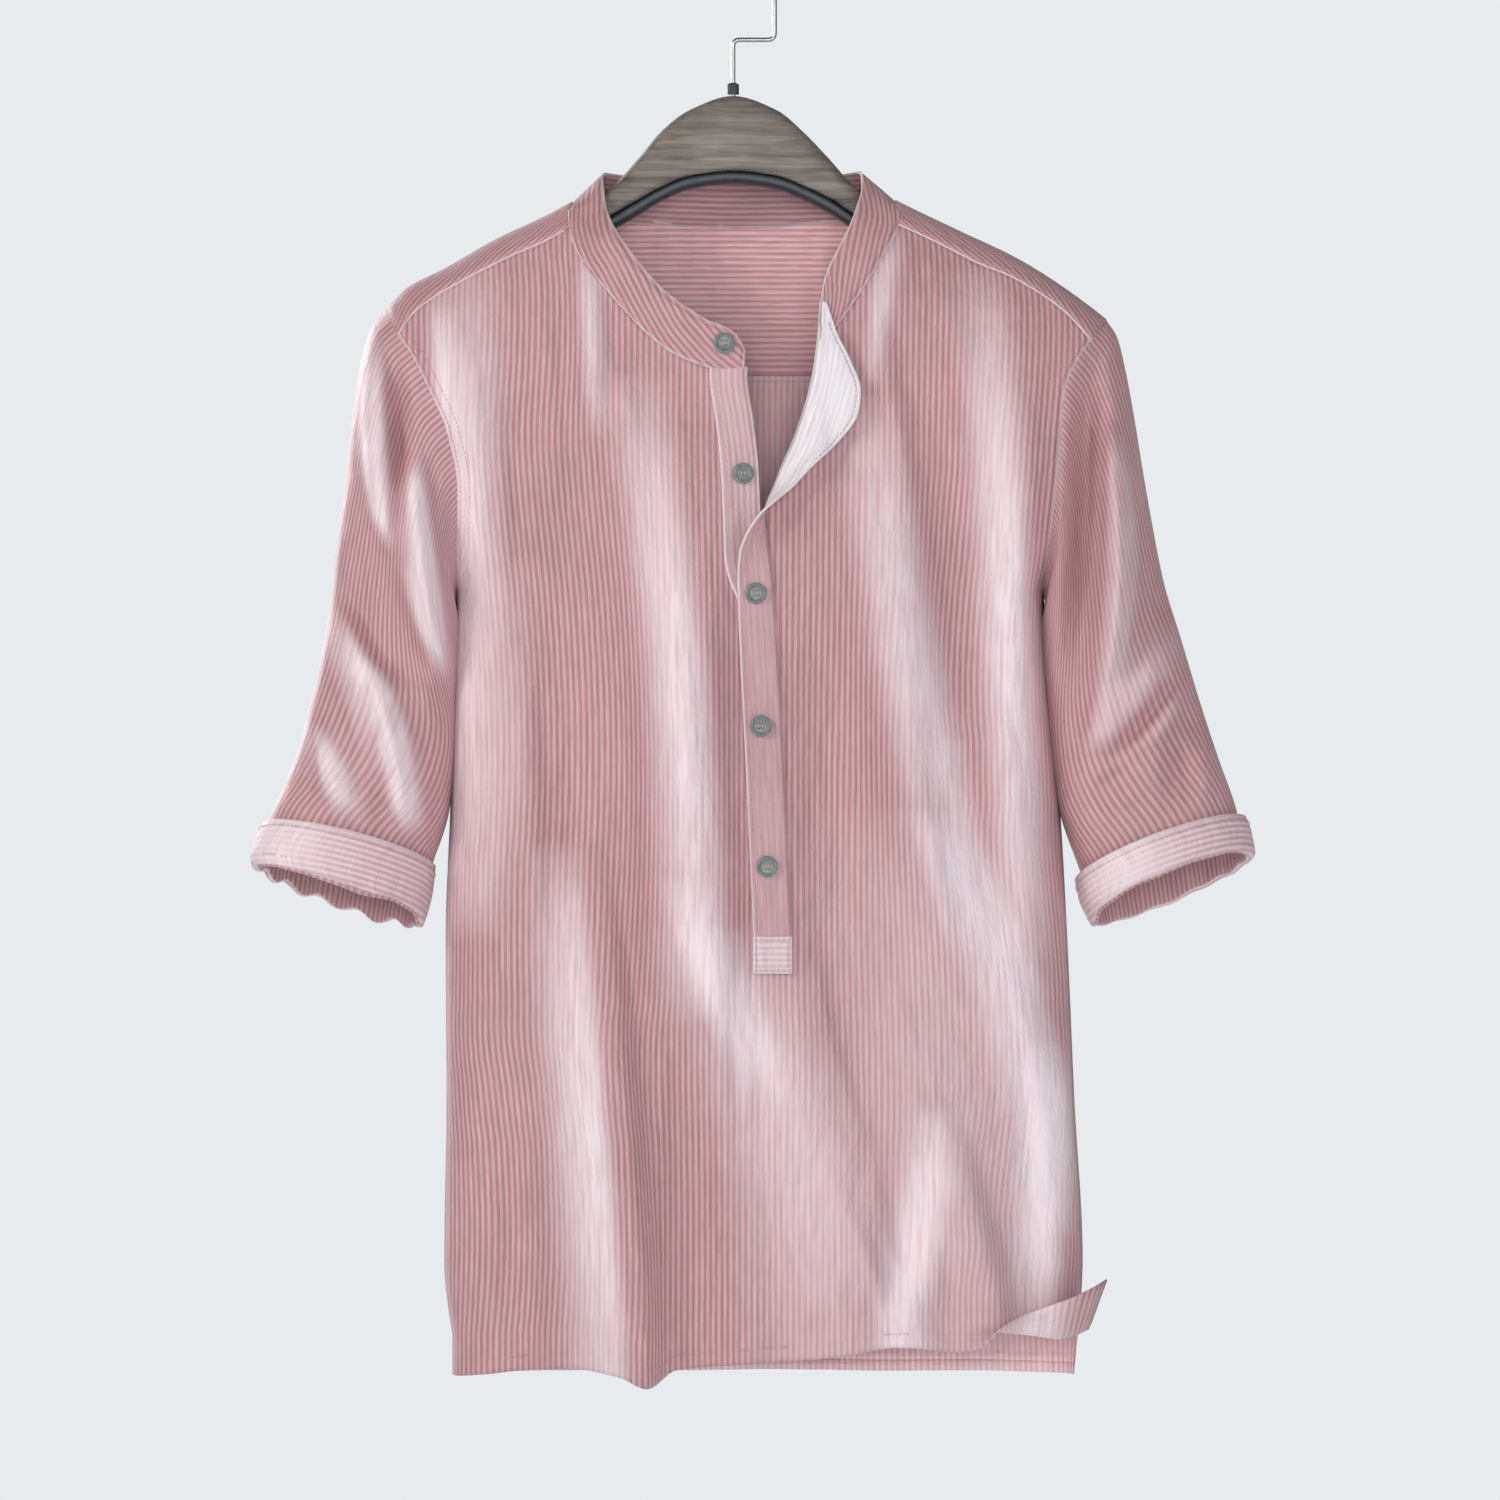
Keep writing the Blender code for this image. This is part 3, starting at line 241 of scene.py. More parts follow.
def add_lamp(lamp):
    """A soft square light that faces the shirt."""
    data = bpy.data.lights.new(lamp.name, "AREA")
    data.size = lamp.size
    data.energy = lamp.power
    data.color = linear(lamp.colour)[:3]
    light = bpy.data.objects.new(lamp.name, data)
    light.location = lamp.place
    light.rotation_euler = (LIT_PLACE - Vector(lamp.place)).to_track_quat("-Z", "Y").to_euler()
    bpy.context.scene.collection.objects.link(light)


def add_surroundings():
    """Pale walls for the camera, and a weaker light of the same kind for the shirt."""
    world = bpy.data.worlds.new("pale_room")
    bpy.context.scene.world = world
    world.use_nodes = True
    room = world.node_tree
    seen = add_node(room, "ShaderNodeLightPath").outputs["Is Camera Ray"]
    lighting = add_node(room, "ShaderNodeBackground", Color=linear("#f2f4f8"), Strength=SURROUND)
    wall = add_node(room, "ShaderNodeBackground", Color=linear(PALE_WALL), Strength=1.0)
    either = add_node(room, "ShaderNodeMixShader", in0=seen, in1=lighting.outputs[0],
                      in2=wall.outputs[0])
    room.links.new(either.outputs[0], room.nodes["World Output"].inputs["Surface"])


def add_floor():
    bm = bmesh.new()
    bmesh.ops.create_circle(bm, cap_ends=True, segments=96, radius=FLOOR_RADIUS,
                            matrix=Matrix.Translation((0, 0, FLOOR_HEIGHT)))
    mesh = mesh_of(bm, "floor")
    # Matt pale paint: without gloss or a hard shadow, it leaves the eye on the shirt.
    paint, _, shader = new_material("matt_floor_paint", "#8d9194", 0.9)
    shader.inputs["Emission Color"].default_value = linear(PALE_WALL)
    shader.inputs["Emission Strength"].default_value = FLOOR_GLOW
    mesh.materials.append(paint)
    floor = bpy.data.objects.new("floor", mesh)
    bpy.context.scene.collection.objects.link(floor)


for lamp in LAMPS:
    add_lamp(lamp)
add_surroundings()
add_floor()
bpy.context.scene.view_settings.view_transform = "Standard"
print("lights:", [lamp.name for lamp in LAMPS])

# %% [markdown]
# ## Shading
#
# The materials below are sums of a few kinds of node, so each kind has a short
# function that adds it and hands back its result. Noise on solid things is read
# in the piece's own space. All sizes are given in mm.


# %% Shader helpers
def per_metre(millimetres):
    return 1.0 / (millimetres * MM)


def maths(tree, operation, *values, clamp=False):
    """The result of one Math node."""
    links = {f"in{number}": value for number, value in enumerate(values)}
    settings = {"operation": operation, "use_clamp": clamp}
    return add_node(tree, "ShaderNodeMath", settings, **links).outputs[0]


def ranged(tree, value, low, high, first, last, kind="LINEAR"):
    """A value carried from one range to another."""
    return add_node(tree, "ShaderNodeMapRange", {"interpolation_type": kind}, in0=value,
                    in1=low, in2=high, in3=first, in4=last).outputs[0]


def bell(tree, value, centre, width):
    """1 where value is at centre, falling to 0 at width on either side."""
    off = maths(tree, "ABSOLUTE", maths(tree, "SUBTRACT", value, centre))
    return ranged(tree, off, 0.0, width, 1.0, 0.0, "SMOOTHSTEP")


def mixed(tree, share, first, second):
    """The first colour, turning into the second as share goes from 0 to 1."""
    return add_node(tree, "ShaderNodeMix", {"data_type": "RGBA"}, in0=share, in6=first,
                    in7=second).outputs[2]


def attribute(tree, name):
    return add_node(tree, "ShaderNodeAttribute", {"attribute_name": name}).outputs["Fac"]


def solid_noise(tree, sizes, detail, roughness=0.5, distortion=0.0):
    """Noise in the piece's own space, with its grain size along x, y and z."""
    place = add_node(tree, "ShaderNodeTexCoord").outputs["Object"]
    scaled = add_node(tree, "ShaderNodeMapping", Vector=place,
                      Scale=[per_metre(size) for size in sizes]).outputs[0]
    return add_node(tree, "ShaderNodeTexNoise", Vector=scaled, Scale=1.0, Detail=detail,
                    Roughness=roughness, Distortion=distortion).outputs[0]


def add_bump(tree, shader, height, strength, deepest):
    """Tilt the shading as a surface of this height would, deepest mm deep."""
    bump = add_node(tree, "ShaderNodeBump", Height=height, Strength=strength,
                    Distance=deepest * MM)
    tree.links.new(bump.outputs[0], shader.inputs["Normal"])


# %% [markdown]
# ## Striped cotton
#
# The shirt is a plain-weave cotton and linen mix. Its warp is dyed rose and pale
# pink in turn, about 1.8 mm of each. The yarns are slubby: they swell and thin
# along their length, so a stripe's edge wavers and its colour is uneven.
#
# A stripe has to follow the cloth as it was cut, not the room. So every panel
# carries a UV map named grain, in metres: U runs across the stripes and V along
# them. The weave itself has a thread every 0.5 mm, which is too fine to show at
# this distance, so the bump draws it at 1.1 mm.
#
# Each panel also has two attributes. The first, edge_mm, is how far a place is
# from the panel's sewn edge. It draws the groove of the stitches, the ridge of
# the seam allowance that shows through from behind, and a pale edge that is
# partly wear and partly a painted edge highlight. The second is how far the dye
# is paled, from 0 to 1: mostly painted highlight on the folds and on the sides
# that face the key light, and partly wear.

# %% Striped cotton
STRIPE_REPEAT = 3.6      # mm: one rose and one pale stripe
STRIPE_WAVER = 0.7       # mm that a stripe's edge wavers
WEAVE_SHOWN = 1.1        # mm between the threads that the bump draws
SLUB_LENGTH = 26.0       # mm: how long a thick place in a yarn is
STITCH_IN = 2.0          # mm from a sewn edge to its row of stitches
ALLOWANCE = 8.0          # mm of seam allowance behind the edge
WORN_AND_HIGHLIT_EDGE = 1.6          # mm from an edge within which the dye is paled: edge wear and a painted edge highlight
NO_SEAM = 99.0           # mm: an edge_mm that is far from any seam
# Palest colour of the painted highlights and wear on the folds
HIGHLIGHT_AND_WEAR_COLOUR = "#f4e3e7"
# Colour of the pale edges: edge wear and a painted edge highlight
EDGE_WEAR_AND_HIGHLIGHT_COLOUR = "#f0e4e6"


def cloth_waves(tree, across, along, seed, detail=2.0):
    """Noise on the cloth's own map, with its grain size in mm across and along."""
    grain = add_node(tree, "ShaderNodeUVMap", {"uv_map": "grain"}).outputs[0]
    place = add_node(tree, "ShaderNodeMapping", Vector=grain,
                     Location=(seed, seed * 0.7, 0.0),
                     Scale=(per_metre(across), per_metre(along), 1.0)).outputs[0]
    return add_node(tree, "ShaderNodeTexNoise", {"noise_dimensions": "2D"}, Vector=place,
                    Scale=1.0, Detail=detail, Roughness=0.55).outputs[0]


def stripes(tree, grain, turned, contrast):
    """1 on rose yarns and 0 on pale ones, or nearer to a half where contrast is low."""
    across = add_node(tree, "ShaderNodeSeparateXYZ", Vector=grain).outputs[1 if turned else 0]
    wavering = maths(tree, "MULTIPLY_ADD", cloth_waves(tree, 1.6, 9.0, 3.1),
                     STRIPE_WAVER * MM, across)
    turns = maths(tree, "MULTIPLY", wavering, 2 * math.pi * per_metre(STRIPE_REPEAT))
    return ranged(tree, maths(tree, "SINE", turns), -0.75, 0.75,
                  0.5 - contrast / 2, 0.5 + contrast / 2, "SMOOTHSTEP")


def uneven_dye(tree, colour, slub):
    """The colour, darker and lighter from yarn to yarn and from place to place."""
    yarn_tone = ranged(tree, slub, 0.3, 0.72, 0.90, 1.12)
    wash_tone = ranged(tree, cloth_waves(tree, 60.0, 90.0, 11.3, 3.0), 0.3, 0.7, 0.95, 1.05)
    return add_node(tree, "ShaderNodeVectorMath", {"operation": "SCALE"}, in0=colour,
                    Scale=maths(tree, "MULTIPLY", yarn_tone, wash_tone)).outputs[0]


def highlight_and_wear_dye(tree, colour, edge):
    """The colour, paled by painted highlights and wear, and along its sewn edges by edge wear and
    a painted edge highlight.
    """
    patchy = ranged(tree, cloth_waves(tree, 2.2, 34.0, 17.9, 3.0), 0.25, 0.75, 0.70, 1.30)
    highlight_and_wear = maths(tree, "MULTIPLY", attribute(tree, "highlight_and_wear"), patchy, clamp=True)
    edge_wear_and_highlight = maths(tree, "MULTIPLY", bell(tree, edge, 0.0, WORN_AND_HIGHLIT_EDGE), 0.75)
    return mixed(tree, edge_wear_and_highlight, mixed(tree, highlight_and_wear, colour, linear(HIGHLIGHT_AND_WEAR_COLOUR)),
                 linear(EDGE_WEAR_AND_HIGHLIGHT_COLOUR))


def cloth_height(tree, grain, edge, slub):
    """The seam's ridge and groove, small wrinkles, weave and slubs, as one height."""
    ridge = bell(tree, edge, ALLOWANCE * 0.6, ALLOWANCE * 0.45)
    height = maths(tree, "MULTIPLY", ridge, cloth_waves(tree, 5.0, 5.0, 2.2))
    weave = add_node(tree, "ShaderNodeTexWave", {"wave_type": "BANDS", "bands_direction": "Y"},
                     Vector=grain, Scale=per_metre(WEAVE_SHOWN) / 20, Distortion=0.6)
    for form, share in ((bell(tree, edge, STITCH_IN, 1.3), -0.5),
                        (cloth_waves(tree, 7.0, 16.0, 5.5, 3.0), 1.5),
                        (weave.outputs["Fac"], 0.06), (slub, 0.22)):
        height = maths(tree, "MULTIPLY_ADD", form, share, height)
    return height


def woven_cotton(name, rose, pale, contrast=1.0, turned=False):
    """A woven cloth whose stripes run along V, or along U where turned."""
    material, tree, shader = new_material(name, rose, 0.62, specular=0.7, sheen=0.2)
    grain = add_node(tree, "ShaderNodeUVMap", {"uv_map": "grain"}).outputs[0]
    edge = attribute(tree, "edge_mm")
    slub = cloth_waves(tree, 0.9, SLUB_LENGTH, 7.7, 3.0)
    dyed = mixed(tree, stripes(tree, grain, turned, contrast), linear(pale), linear(rose))
    seen_dye = highlight_and_wear_dye(tree, uneven_dye(tree, dyed, slub), edge)
    tree.links.new(seen_dye, shader.inputs["Base Color"])
    add_bump(tree, shader, cloth_height(tree, grain, edge, slub), 0.75, 0.9)
    return material


# Rose and pale yarns in turn: fine stripes that look one soft pink from afar.
striped_cotton = woven_cotton("striped_cotton", "#b17b7e", "#cba3a5")
# The inside of the yoke, painted paler as painted light, so that the shaded hollow of the neck
# still looks pink.
yoke_inside_painted_light = woven_cotton("striped_cotton_inside_yoke", "#e09fa3", "#f4cace")
# The inside of the back, paler still: painted light for the deep shade in the slit.
back_inside_painted_light = woven_cotton("striped_cotton_inside_back", "#f6bbc0", "#ffdfe2")
# The cuffs, paled by wear: their stripes run round the arm and set them apart.
cuff_cotton = woven_cotton("striped_cotton_of_cuffs", "#c0959a", "#dac0c4", turned=True)
# The placket's outside, with stripes so faint that it looks plain.
rose_facing = woven_cotton("rose_cotton_facing", "#bd9195", "#caa3a7", contrast=0.5)
# The placket's facing, nearly white: the turned-back flap is the palest thing here.
pale_facing = woven_cotton("pale_cotton_facing", "#e4dadd", "#f4eff1", contrast=0.5)
print("cloth materials:", [m.name for m in bpy.data.materials])

# %% [markdown]
# ## The shirt's form
#
# Seen from above, the hanging shirt is a flattened tube: a front and a back
# sheet that meet on the shoulder line and at the side seams. One function says
# how far each sheet stands from the plane between them. It comes from the
# outline, the line over the shoulders and the folds, and it is the form of the
# solids, so the cloth lies where they are.

# %% Tables of the form
FRONT, BACK = -1, 1
SHOULDER_ROUND = 120.0   # mm below the shoulder line where the shirt has its full depth
ROUNDNESS = 2.2          # power of the curves round the shoulders and the sides
SIDE_FADE = 8            # power with which folds fade towards the side seams
FOLD_ENDS = 0.7          # power with which a fold fades towards its two ends
UNDERARM = -392.0        # heights, from the top of the hook
BACK_YOKE_SEAM = -261.0
BACK_HEM = -862.0
SLIT_FOOT = -597.0

Outline = namedtuple("Outline", "z left right closed front back")
OUTLINE = [
    Outline(-221.0, -208.5, 224.5, 0.00, 40, 36),
    Outline(-227.4, -205.4, 224.5, 0.02, 40, 36),
    Outline(-238, -200.2, 216.4, 0.05, 40, 36),
    Outline(-250, -192.0, 207.5, 0.10, 41, 37),
    Outline(-269, -182.4, 199.0, 0.18, 42, 37),
    Outline(-296, -171.0, 196.3, 0.27, 42, 37),
    Outline(-330, -165.0, 193.6, 0.42, 43, 37),
    Outline(-364, -165.8, 189.6, 0.72, 43, 36),
    Outline(-392, -166.6, 187.0, 1.00, 43, 36),
    Outline(-456, -168.6, 190.6, 1.00, 42, 35),
    Outline(-516, -169.8, 196.2, 1.00, 42, 34),
    Outline(-600, -172.8, 201.0, 1.00, 42, 34),
    Outline(-696, -172.2, 205.2, 1.00, 43, 35),
    Outline(-793, -173.6, 210.2, 1.00, 44, 36),
    Outline(-862, -165.0, 205.0, 1.00, 44, 36),
]
Place = namedtuple("Place", "x z")
SHOULDER = [
    Place(-208.5, -221.0), Place(-197.4, -209.5), Place(-172.2, -196.2), Place(-142.8, -179.4),
    Place(-111.0, -164.4), Place(-97.5, -157.0), Place(-60.0, -136.0), Place(0.0, -112.0),
    Place(60.0, -134.0), Place(98.4, -156.0), Place(135.6, -174.0), Place(168.6, -189.6),
    Place(190.8, -202.8), Place(213.0, -218.4), Place(224.5, -227.4),
]
YOKE_SEAM_LEFT = [
    Place(-200.8, -236.8), Place(-191.0, -222.8), Place(-178.0, -212.9), Place(-164.0, -204.7),
    Place(-148.0, -196.3), Place(-131.0, -188.0), Place(-114.0, -180.8), Place(-98.4, -172.0),
]
NECK_SEAM_LEFT = [
    Place(-98.4, -172.0), Place(-90.0, -191.4), Place(-80.4, -203.4), Place(-67.8, -218.4),
    Place(-52.8, -234.0), Place(-37.8, -246.0), Place(-24.0, -252.6), Place(-11.4, -256.8),
]
NECK_SEAM_RIGHT = [
    Place(49.5, -247.0), Place(62.0, -231.0), Place(74.0, -214.0), Place(83.4, -199.2),
    Place(92.0, -184.0), Place(99.0, -170.0),
]
YOKE_SEAM_RIGHT = [
    Place(99.0, -170.0), Place(115.0, -177.2), Place(131.0, -185.2), Place(148.0, -193.7),
    Place(165.0, -200.4), Place(181.0, -209.4), Place(198.0, -221.6), Place(215.0, -240.0),
]
NECK_BACK = [
    Place(-97.5, -157.2), Place(-88.0, -161.5), Place(-66.0, -165.0), Place(0.0, -168.0),
    Place(66.0, -164.6), Place(89.0, -160.6), Place(98.4, -156.2),
]
Slit = namedtuple("Slit", "z left right")
SLIT = [
    Slit(-247, -11.4, 49.5), Slit(-263, -12.0, 47.6), Slit(-288, -8.5, 41.0),
    Slit(-318, -5.3, 29.4), Slit(-342, -4.2, 20.0), Slit(-372, -3.0, 21.5),
    Slit(-384, -0.4, 22.2), Slit(-400, 5.4, 23.0), Slit(-450, 7.8, 25.8),
    Slit(-486, 9.8, 28.0), Slit(-600, 15.2, 33.4), Slit(-862, 16.0, 36.0),
]
HemFoot = namedtuple("HemFoot", "x fold band turn out")
HEM_FOOT = [
    HemFoot(-165.0, -838.2, 24, 0, 0), HemFoot(-97.0, -832.0, 24, 0, 0),
    HemFoot(-68.0, -836.0, 24, 0, 0), HemFoot(-51.0, -843.0, 24, 0, 0),
    HemFoot(-34.0, -833.0, 24, 0, 0), HemFoot(0.0, -829.5, 24, 0, 0),
    HemFoot(60.0, -824.5, 24, 0, 0), HemFoot(100.0, -818.5, 24, 4, 0),
    HemFoot(128.0, -822.0, 24, 12, 0), HemFoot(146.0, -825.0, 23, 45, 0),
    HemFoot(160.0, -828.0, 23, 105, 0), HemFoot(176.0, -831.0, 28, 140, 1),
    HemFoot(194.0, -832.0, 40, 154, 5), HemFoot(210.0, -826.0, 52, 158, 17),
]

# %% [markdown]
# ## Folds
#
# A fold is a crest or a trough along a line. Each row gives the line by three
# points, how far the fold reaches to its left and right, and its height. A short
# reach on one side makes a sharp flank there, as where heavy cloth hangs over.
#
# The first tables are the folds of the solids. The next add the creases that
# only cloth shows: drags from the shoulders, soft pleats under the yoke, and
# wrinkles where the garment was folded before it was hung.
#
# The last table has rows of the same kind for pale bands on the folds: painted
# highlights, partly drawn as wear. There the height is a share, with about 1 for
# the palest.

# %% Tables of folds
Fold = namedtuple("Fold", "x0 z0 x1 z1 x2 z2 left right height")
FRONT_FOLDS = [
    Fold(-92, -150, -86, -215, -84, -310, 17, 12, 5.0),
    Fold(-172, -190, -158, -300, -156, -420, 22, 15, 6.0),
    Fold(-160, -330, -152, -520, -156, -760, 20, 44, 7.0),
    Fold(-112, -250, -82, -440, -76, -680, 60, 50, -9.0),
    Fold(-18, -290, -22, -450, -10, -720, 50, 32, 11.0),
    Fold(-86, -540, -62, -740, -50, -940, 48, 15, 13.0),
    Fold(-24, -640, -30, -800, -30, -930, 20, 38, -6.0),
    Fold(46, -380, 62, -520, 72, -720, 30, 36, -6.0),
    Fold(84, -320, 106, -470, 134, -640, 38, 28, 9.0),
    Fold(120, -520, 164, -640, 204, -730, 34, 22, 6.0),
    Fold(100, -215, 132, -330, 140, -480, 36, 36, -8.0),
    Fold(180, -230, 172, -400, 190, -660, 44, 20, 8.0),
    Fold(30, -640, 60, -760, 74, -930, 46, 44, 6.0),
    Fold(118, -690, 148, -780, 172, -910, 28, 15, 9.0),
    Fold(130, -760, 106, -820, 92, -900, 16, 24, 6.0),
    Fold(190, -700, 196, -790, 202, -890, 20, 13, 5.0),
    Fold(-140, -620, -130, -760, -134, -930, 24, 32, -5.0),
]
BACK_FOLDS = [
    Fold(-120, -240, -110, -450, -124, -930, 44, 50, 8.0),
    Fold(-46, -300, -50, -560, -40, -930, 40, 36, -7.0),
    Fold(20, -250, 26, -520, 16, -930, 38, 44, 8.5),
    Fold(84, -330, 92, -600, 88, -930, 34, 40, -7.0),
    Fold(146, -240, 150, -500, 158, -930, 36, 30, 7.0),
]
FRONT_CREASES = [
    Fold(-118, -195, -112, -260, -104, -350, 9, 9, 1.6),
    Fold(-140, -205, -134, -280, -126, -400, 10, 12, -1.6),
    Fold(-70, -240, -62, -300, -58, -400, 10, 9, 1.4),
    Fold(-48, -256, -46, -330, -44, -430, 9, 10, -1.3),
    Fold(-30, -262, -30, -330, -28, -420, 8, 8, 1.4),
    Fold(-128, -420, -120, -520, -118, -640, 14, 9, 2.2),
    Fold(-100, -460, -96, -560, -98, -680, 10, 12, -1.8),
    Fold(-58, -430, -52, -540, -50, -660, 11, 9, 2.0),
    Fold(-34, -520, -34, -620, -36, -740, 9, 12, -1.8),
    Fold(-10, -600, -6, -700, -4, -840, 12, 9, 2.4),
    Fold(-118, -700, -108, -790, -112, -900, 14, 10, 2.6),
    Fold(-150, -690, -146, -780, -150, -900, 9, 12, 1.8),
    Fold(14, -640, 22, -730, 28, -850, 10, 12, -2.0),
    Fold(60, -250, 66, -330, 78, -430, 12, 14, -1.8),
    Fold(86, -215, 98, -290, 112, -380, 8, 10, 1.8),
    Fold(122, -205, 140, -270, 152, -350, 10, 9, 1.6),
    Fold(152, -220, 162, -300, 164, -390, 10, 10, -1.6),
    Fold(112, -420, 124, -520, 146, -620, 10, 12, -2.0),
    Fold(66, -480, 84, -580, 108, -680, 12, 10, 2.0),
    Fold(46, -560, 62, -640, 86, -720, 10, 12, -1.6),
    Fold(150, -430, 168, -520, 182, -600, 12, 9, 2.2),
    Fold(84, -700, 100, -770, 120, -840, 10, 12, -2.0),
    Fold(60, -740, 84, -800, 104, -850, 9, 10, 1.8),
    Fold(20, -760, 44, -800, 52, -850, 9, 10, 1.4),
    Fold(166, -640, 178, -720, 184, -800, 9, 11, -1.8),
    Fold(-150, -770, -110, -800, -86, -830, 14, 14, 1.2),
    Fold(186, -260, 183, -430, 194, -700, 34, 16, 7.0),
    Fold(-60, -270, -36, -410, -26, -600, 22, 12, 2.0),
]
BACK_CREASES = [
    Fold(-150, -270, -146, -400, -150, -560, 12, 14, 2.0),
    Fold(-92, -275, -84, -380, -80, -520, 12, 10, -1.8),
    Fold(-20, -270, -14, -400, -16, -560, 10, 12, 1.8),
    Fold(52, -275, 58, -400, 56, -540, 12, 10, -1.6),
    Fold(112, -270, 118, -380, 122, -520, 10, 12, 2.0),
    Fold(-70, -560, -78, -700, -76, -860, 14, 12, 2.2),
    Fold(-10, -560, -4, -700, -8, -870, 10, 14, -2.0),
    Fold(60, -600, 56, -720, 60, -870, 12, 12, 2.2),
    Fold(120, -560, 126, -700, 122, -860, 12, 14, -2.0),
    Fold(-140, -560, -144, -700, -142, -860, 12, 10, 1.8),
]
FRONT_HIGHLIGHT_AND_WEAR_BANDS = [
    Fold(-160, -190, -162, -330, -163, -600, 22, 30, 1.05),
    Fold(-140, -360, -134, -460, -150, -600, 16, 20, 0.30),
    Fold(-60, -260, -34, -430, -20, -650, 28, 24, 1.00),
    Fold(-34, -560, -8, -630, 24, -700, 20, 30, 0.60),
    Fold(-100, -540, -84, -700, -66, -900, 36, 13, 1.05),
    Fold(80, -270, 110, -440, 150, -610, 32, 24, 0.90),
    Fold(120, -520, 165, -620, 196, -780, 34, 24, 0.85),
    Fold(148, -195, 161, -340, 178, -640, 26, 22, 1.05),
    Fold(-14, -590, 24, -680, 52, -860, 60, 56, 0.60),
    Fold(124, -700, 104, -806, 90, -890, 22, 22, 0.85),
    Fold(190, -660, 186, -780, 180, -890, 26, 20, 0.90),
    Fold(90, -520, 130, -720, 140, -900, 84, 74, 0.38),
    Fold(-86, -165, -85, -216, -80, -300, 10, 12, 0.70),
    Fold(96, -170, 90, -205, 84, -270, 10, 12, 0.70),
    Fold(-178, -210, -176, -240, -172, -300, 9, 11, 0.70),
]
RIPPLE = 1.1             # mm: the small unevenness of cloth that was worn and washed
FOLD_GAIN = 1.4          # how much deeper the large folds are than the solids'
CREASE_GAIN = 1.7        # how much deeper the creases are than their rows say
STEEPEST = 2.5           # mm of depth in 1 mm across: more is an overlap, not cloth
print("folds in front:", len(FRONT_FOLDS + FRONT_CREASES))
print("folds behind:", len(BACK_FOLDS + BACK_CREASES))

# %% [markdown]
# ## One skin for every panel
#
# skin() gives a point on the shirt for a place seen from the front. Fine ripples
# are added to the folds from a fixed noise, stretched along the grain because
# cloth that hangs wrinkles mostly downwards.
#
# Stripes also need to know how much cloth lies between two places, which is more
# than the distance seen from the front where the cloth turns away. The second
# function measures it along a level line.

# %% The skin
left_edge = curve_of(OUTLINE, "z", "left")
right_edge = curve_of(OUTLINE, "z", "right")
closed_at = curve_of(OUTLINE, "z", "closed")
depth_of = {FRONT: curve_of(OUTLINE, "z", "front"), BACK: curve_of(OUTLINE, "z", "back")}
shoulder_line = curve_of(SHOULDER, "x", "z")
slit_left = curve_of(SLIT, "z", "left")
slit_right = curve_of(SLIT, "z", "right")


def fold_line(fold, z):
    """Where a fold's line is at height z, on the curve through its three points."""
    a = (z - fold.z1) * (z - fold.z2) / ((fold.z0 - fold.z1) * (fold.z0 - fold.z2))
    b = (z - fold.z0) * (z - fold.z2) / ((fold.z1 - fold.z0) * (fold.z1 - fold.z2))
    c = (z - fold.z0) * (z - fold.z1) / ((fold.z2 - fold.z0) * (fold.z2 - fold.z1))
    return a * fold.x0 + b * fold.x1 + c * fold.x2


def folds_at(folds, x, z):
    """How far the folds lift the cloth outward."""
    lift = np.zeros(np.broadcast(x, z).shape)
    for fold in folds:
        share = np.clip((fold.z0 - z) / (fold.z0 - fold.z2), 0.0, 1.0)
        off = x - fold_line(fold, z)
        reach = np.clip(np.abs(off) / np.where(off > 0, fold.right, fold.left), 0.0, 1.0)
        lift = lift + fold.height * (1 - reach ** 2) ** 2 * np.sin(math.pi * share) ** FOLD_ENDS
    return lift


def noise_at(x, z, across, along, seed):
    """Noise from -1 to 1, with its size across and along in mm."""
    x, z = np.broadcast_arrays(x, z)
    flat = [noise.noise((a / across, b / along, seed)) for a, b in zip(x.ravel(), z.ravel())]
    return np.array(flat).reshape(x.shape)


def ripples_at(x, z, seed=0.0):
    """Small wrinkles, longer along the grain than across it."""
    broad = noise_at(x, z, 13.0, 60.0, seed + 1.5)
    fine = noise_at(x, z, 7.0, 22.0, seed + 4.5)
    return RIPPLE * (broad + 0.6 * fine)


def depth_at(side, x, z, fine=True):
    """How far the skin stands from the plane y = 0, on the front or the back."""
    x, z = np.asarray(x, float), np.asarray(z, float)
    middle = (left_edge(z) + right_edge(z)) / 2
    half = (right_edge(z) - left_edge(z)) / 2
    across = np.minimum(np.abs(x - middle) / half, 1.0)
    drop = np.clip((shoulder_line(x) - z) / SHOULDER_ROUND, 0.0, 1.0)
    over_shoulder = (1 - (1 - drop) ** ROUNDNESS) ** (1 / ROUNDNESS)
    round_side = np.maximum(1 - closed_at(z) * across ** ROUNDNESS, 0.0) ** (1 / ROUNDNESS)
    lift = FOLD_GAIN * folds_at(FRONT_FOLDS if side == FRONT else BACK_FOLDS, x, z)
    if fine:
        lift = lift + CREASE_GAIN * folds_at(FRONT_CREASES if side == FRONT else BACK_CREASES,
                                             x, z)
        lift = lift + ripples_at(x, z, seed=10.0 + side)
    lift = lift * (1 - across ** SIDE_FADE) * smooth_step(drop * 2)
    return depth_of[side](z) * over_shoulder * round_side + lift


def skin(side, x, z, out=0.0):
    """Points on the skin, moved outward by out, as an array that ends in x, y, z."""
    x, z, out = np.broadcast_arrays(np.asarray(x, float), np.asarray(z, float), out)
    return np.stack((x, side * (depth_at(side, x, z) + out), z), axis=-1)


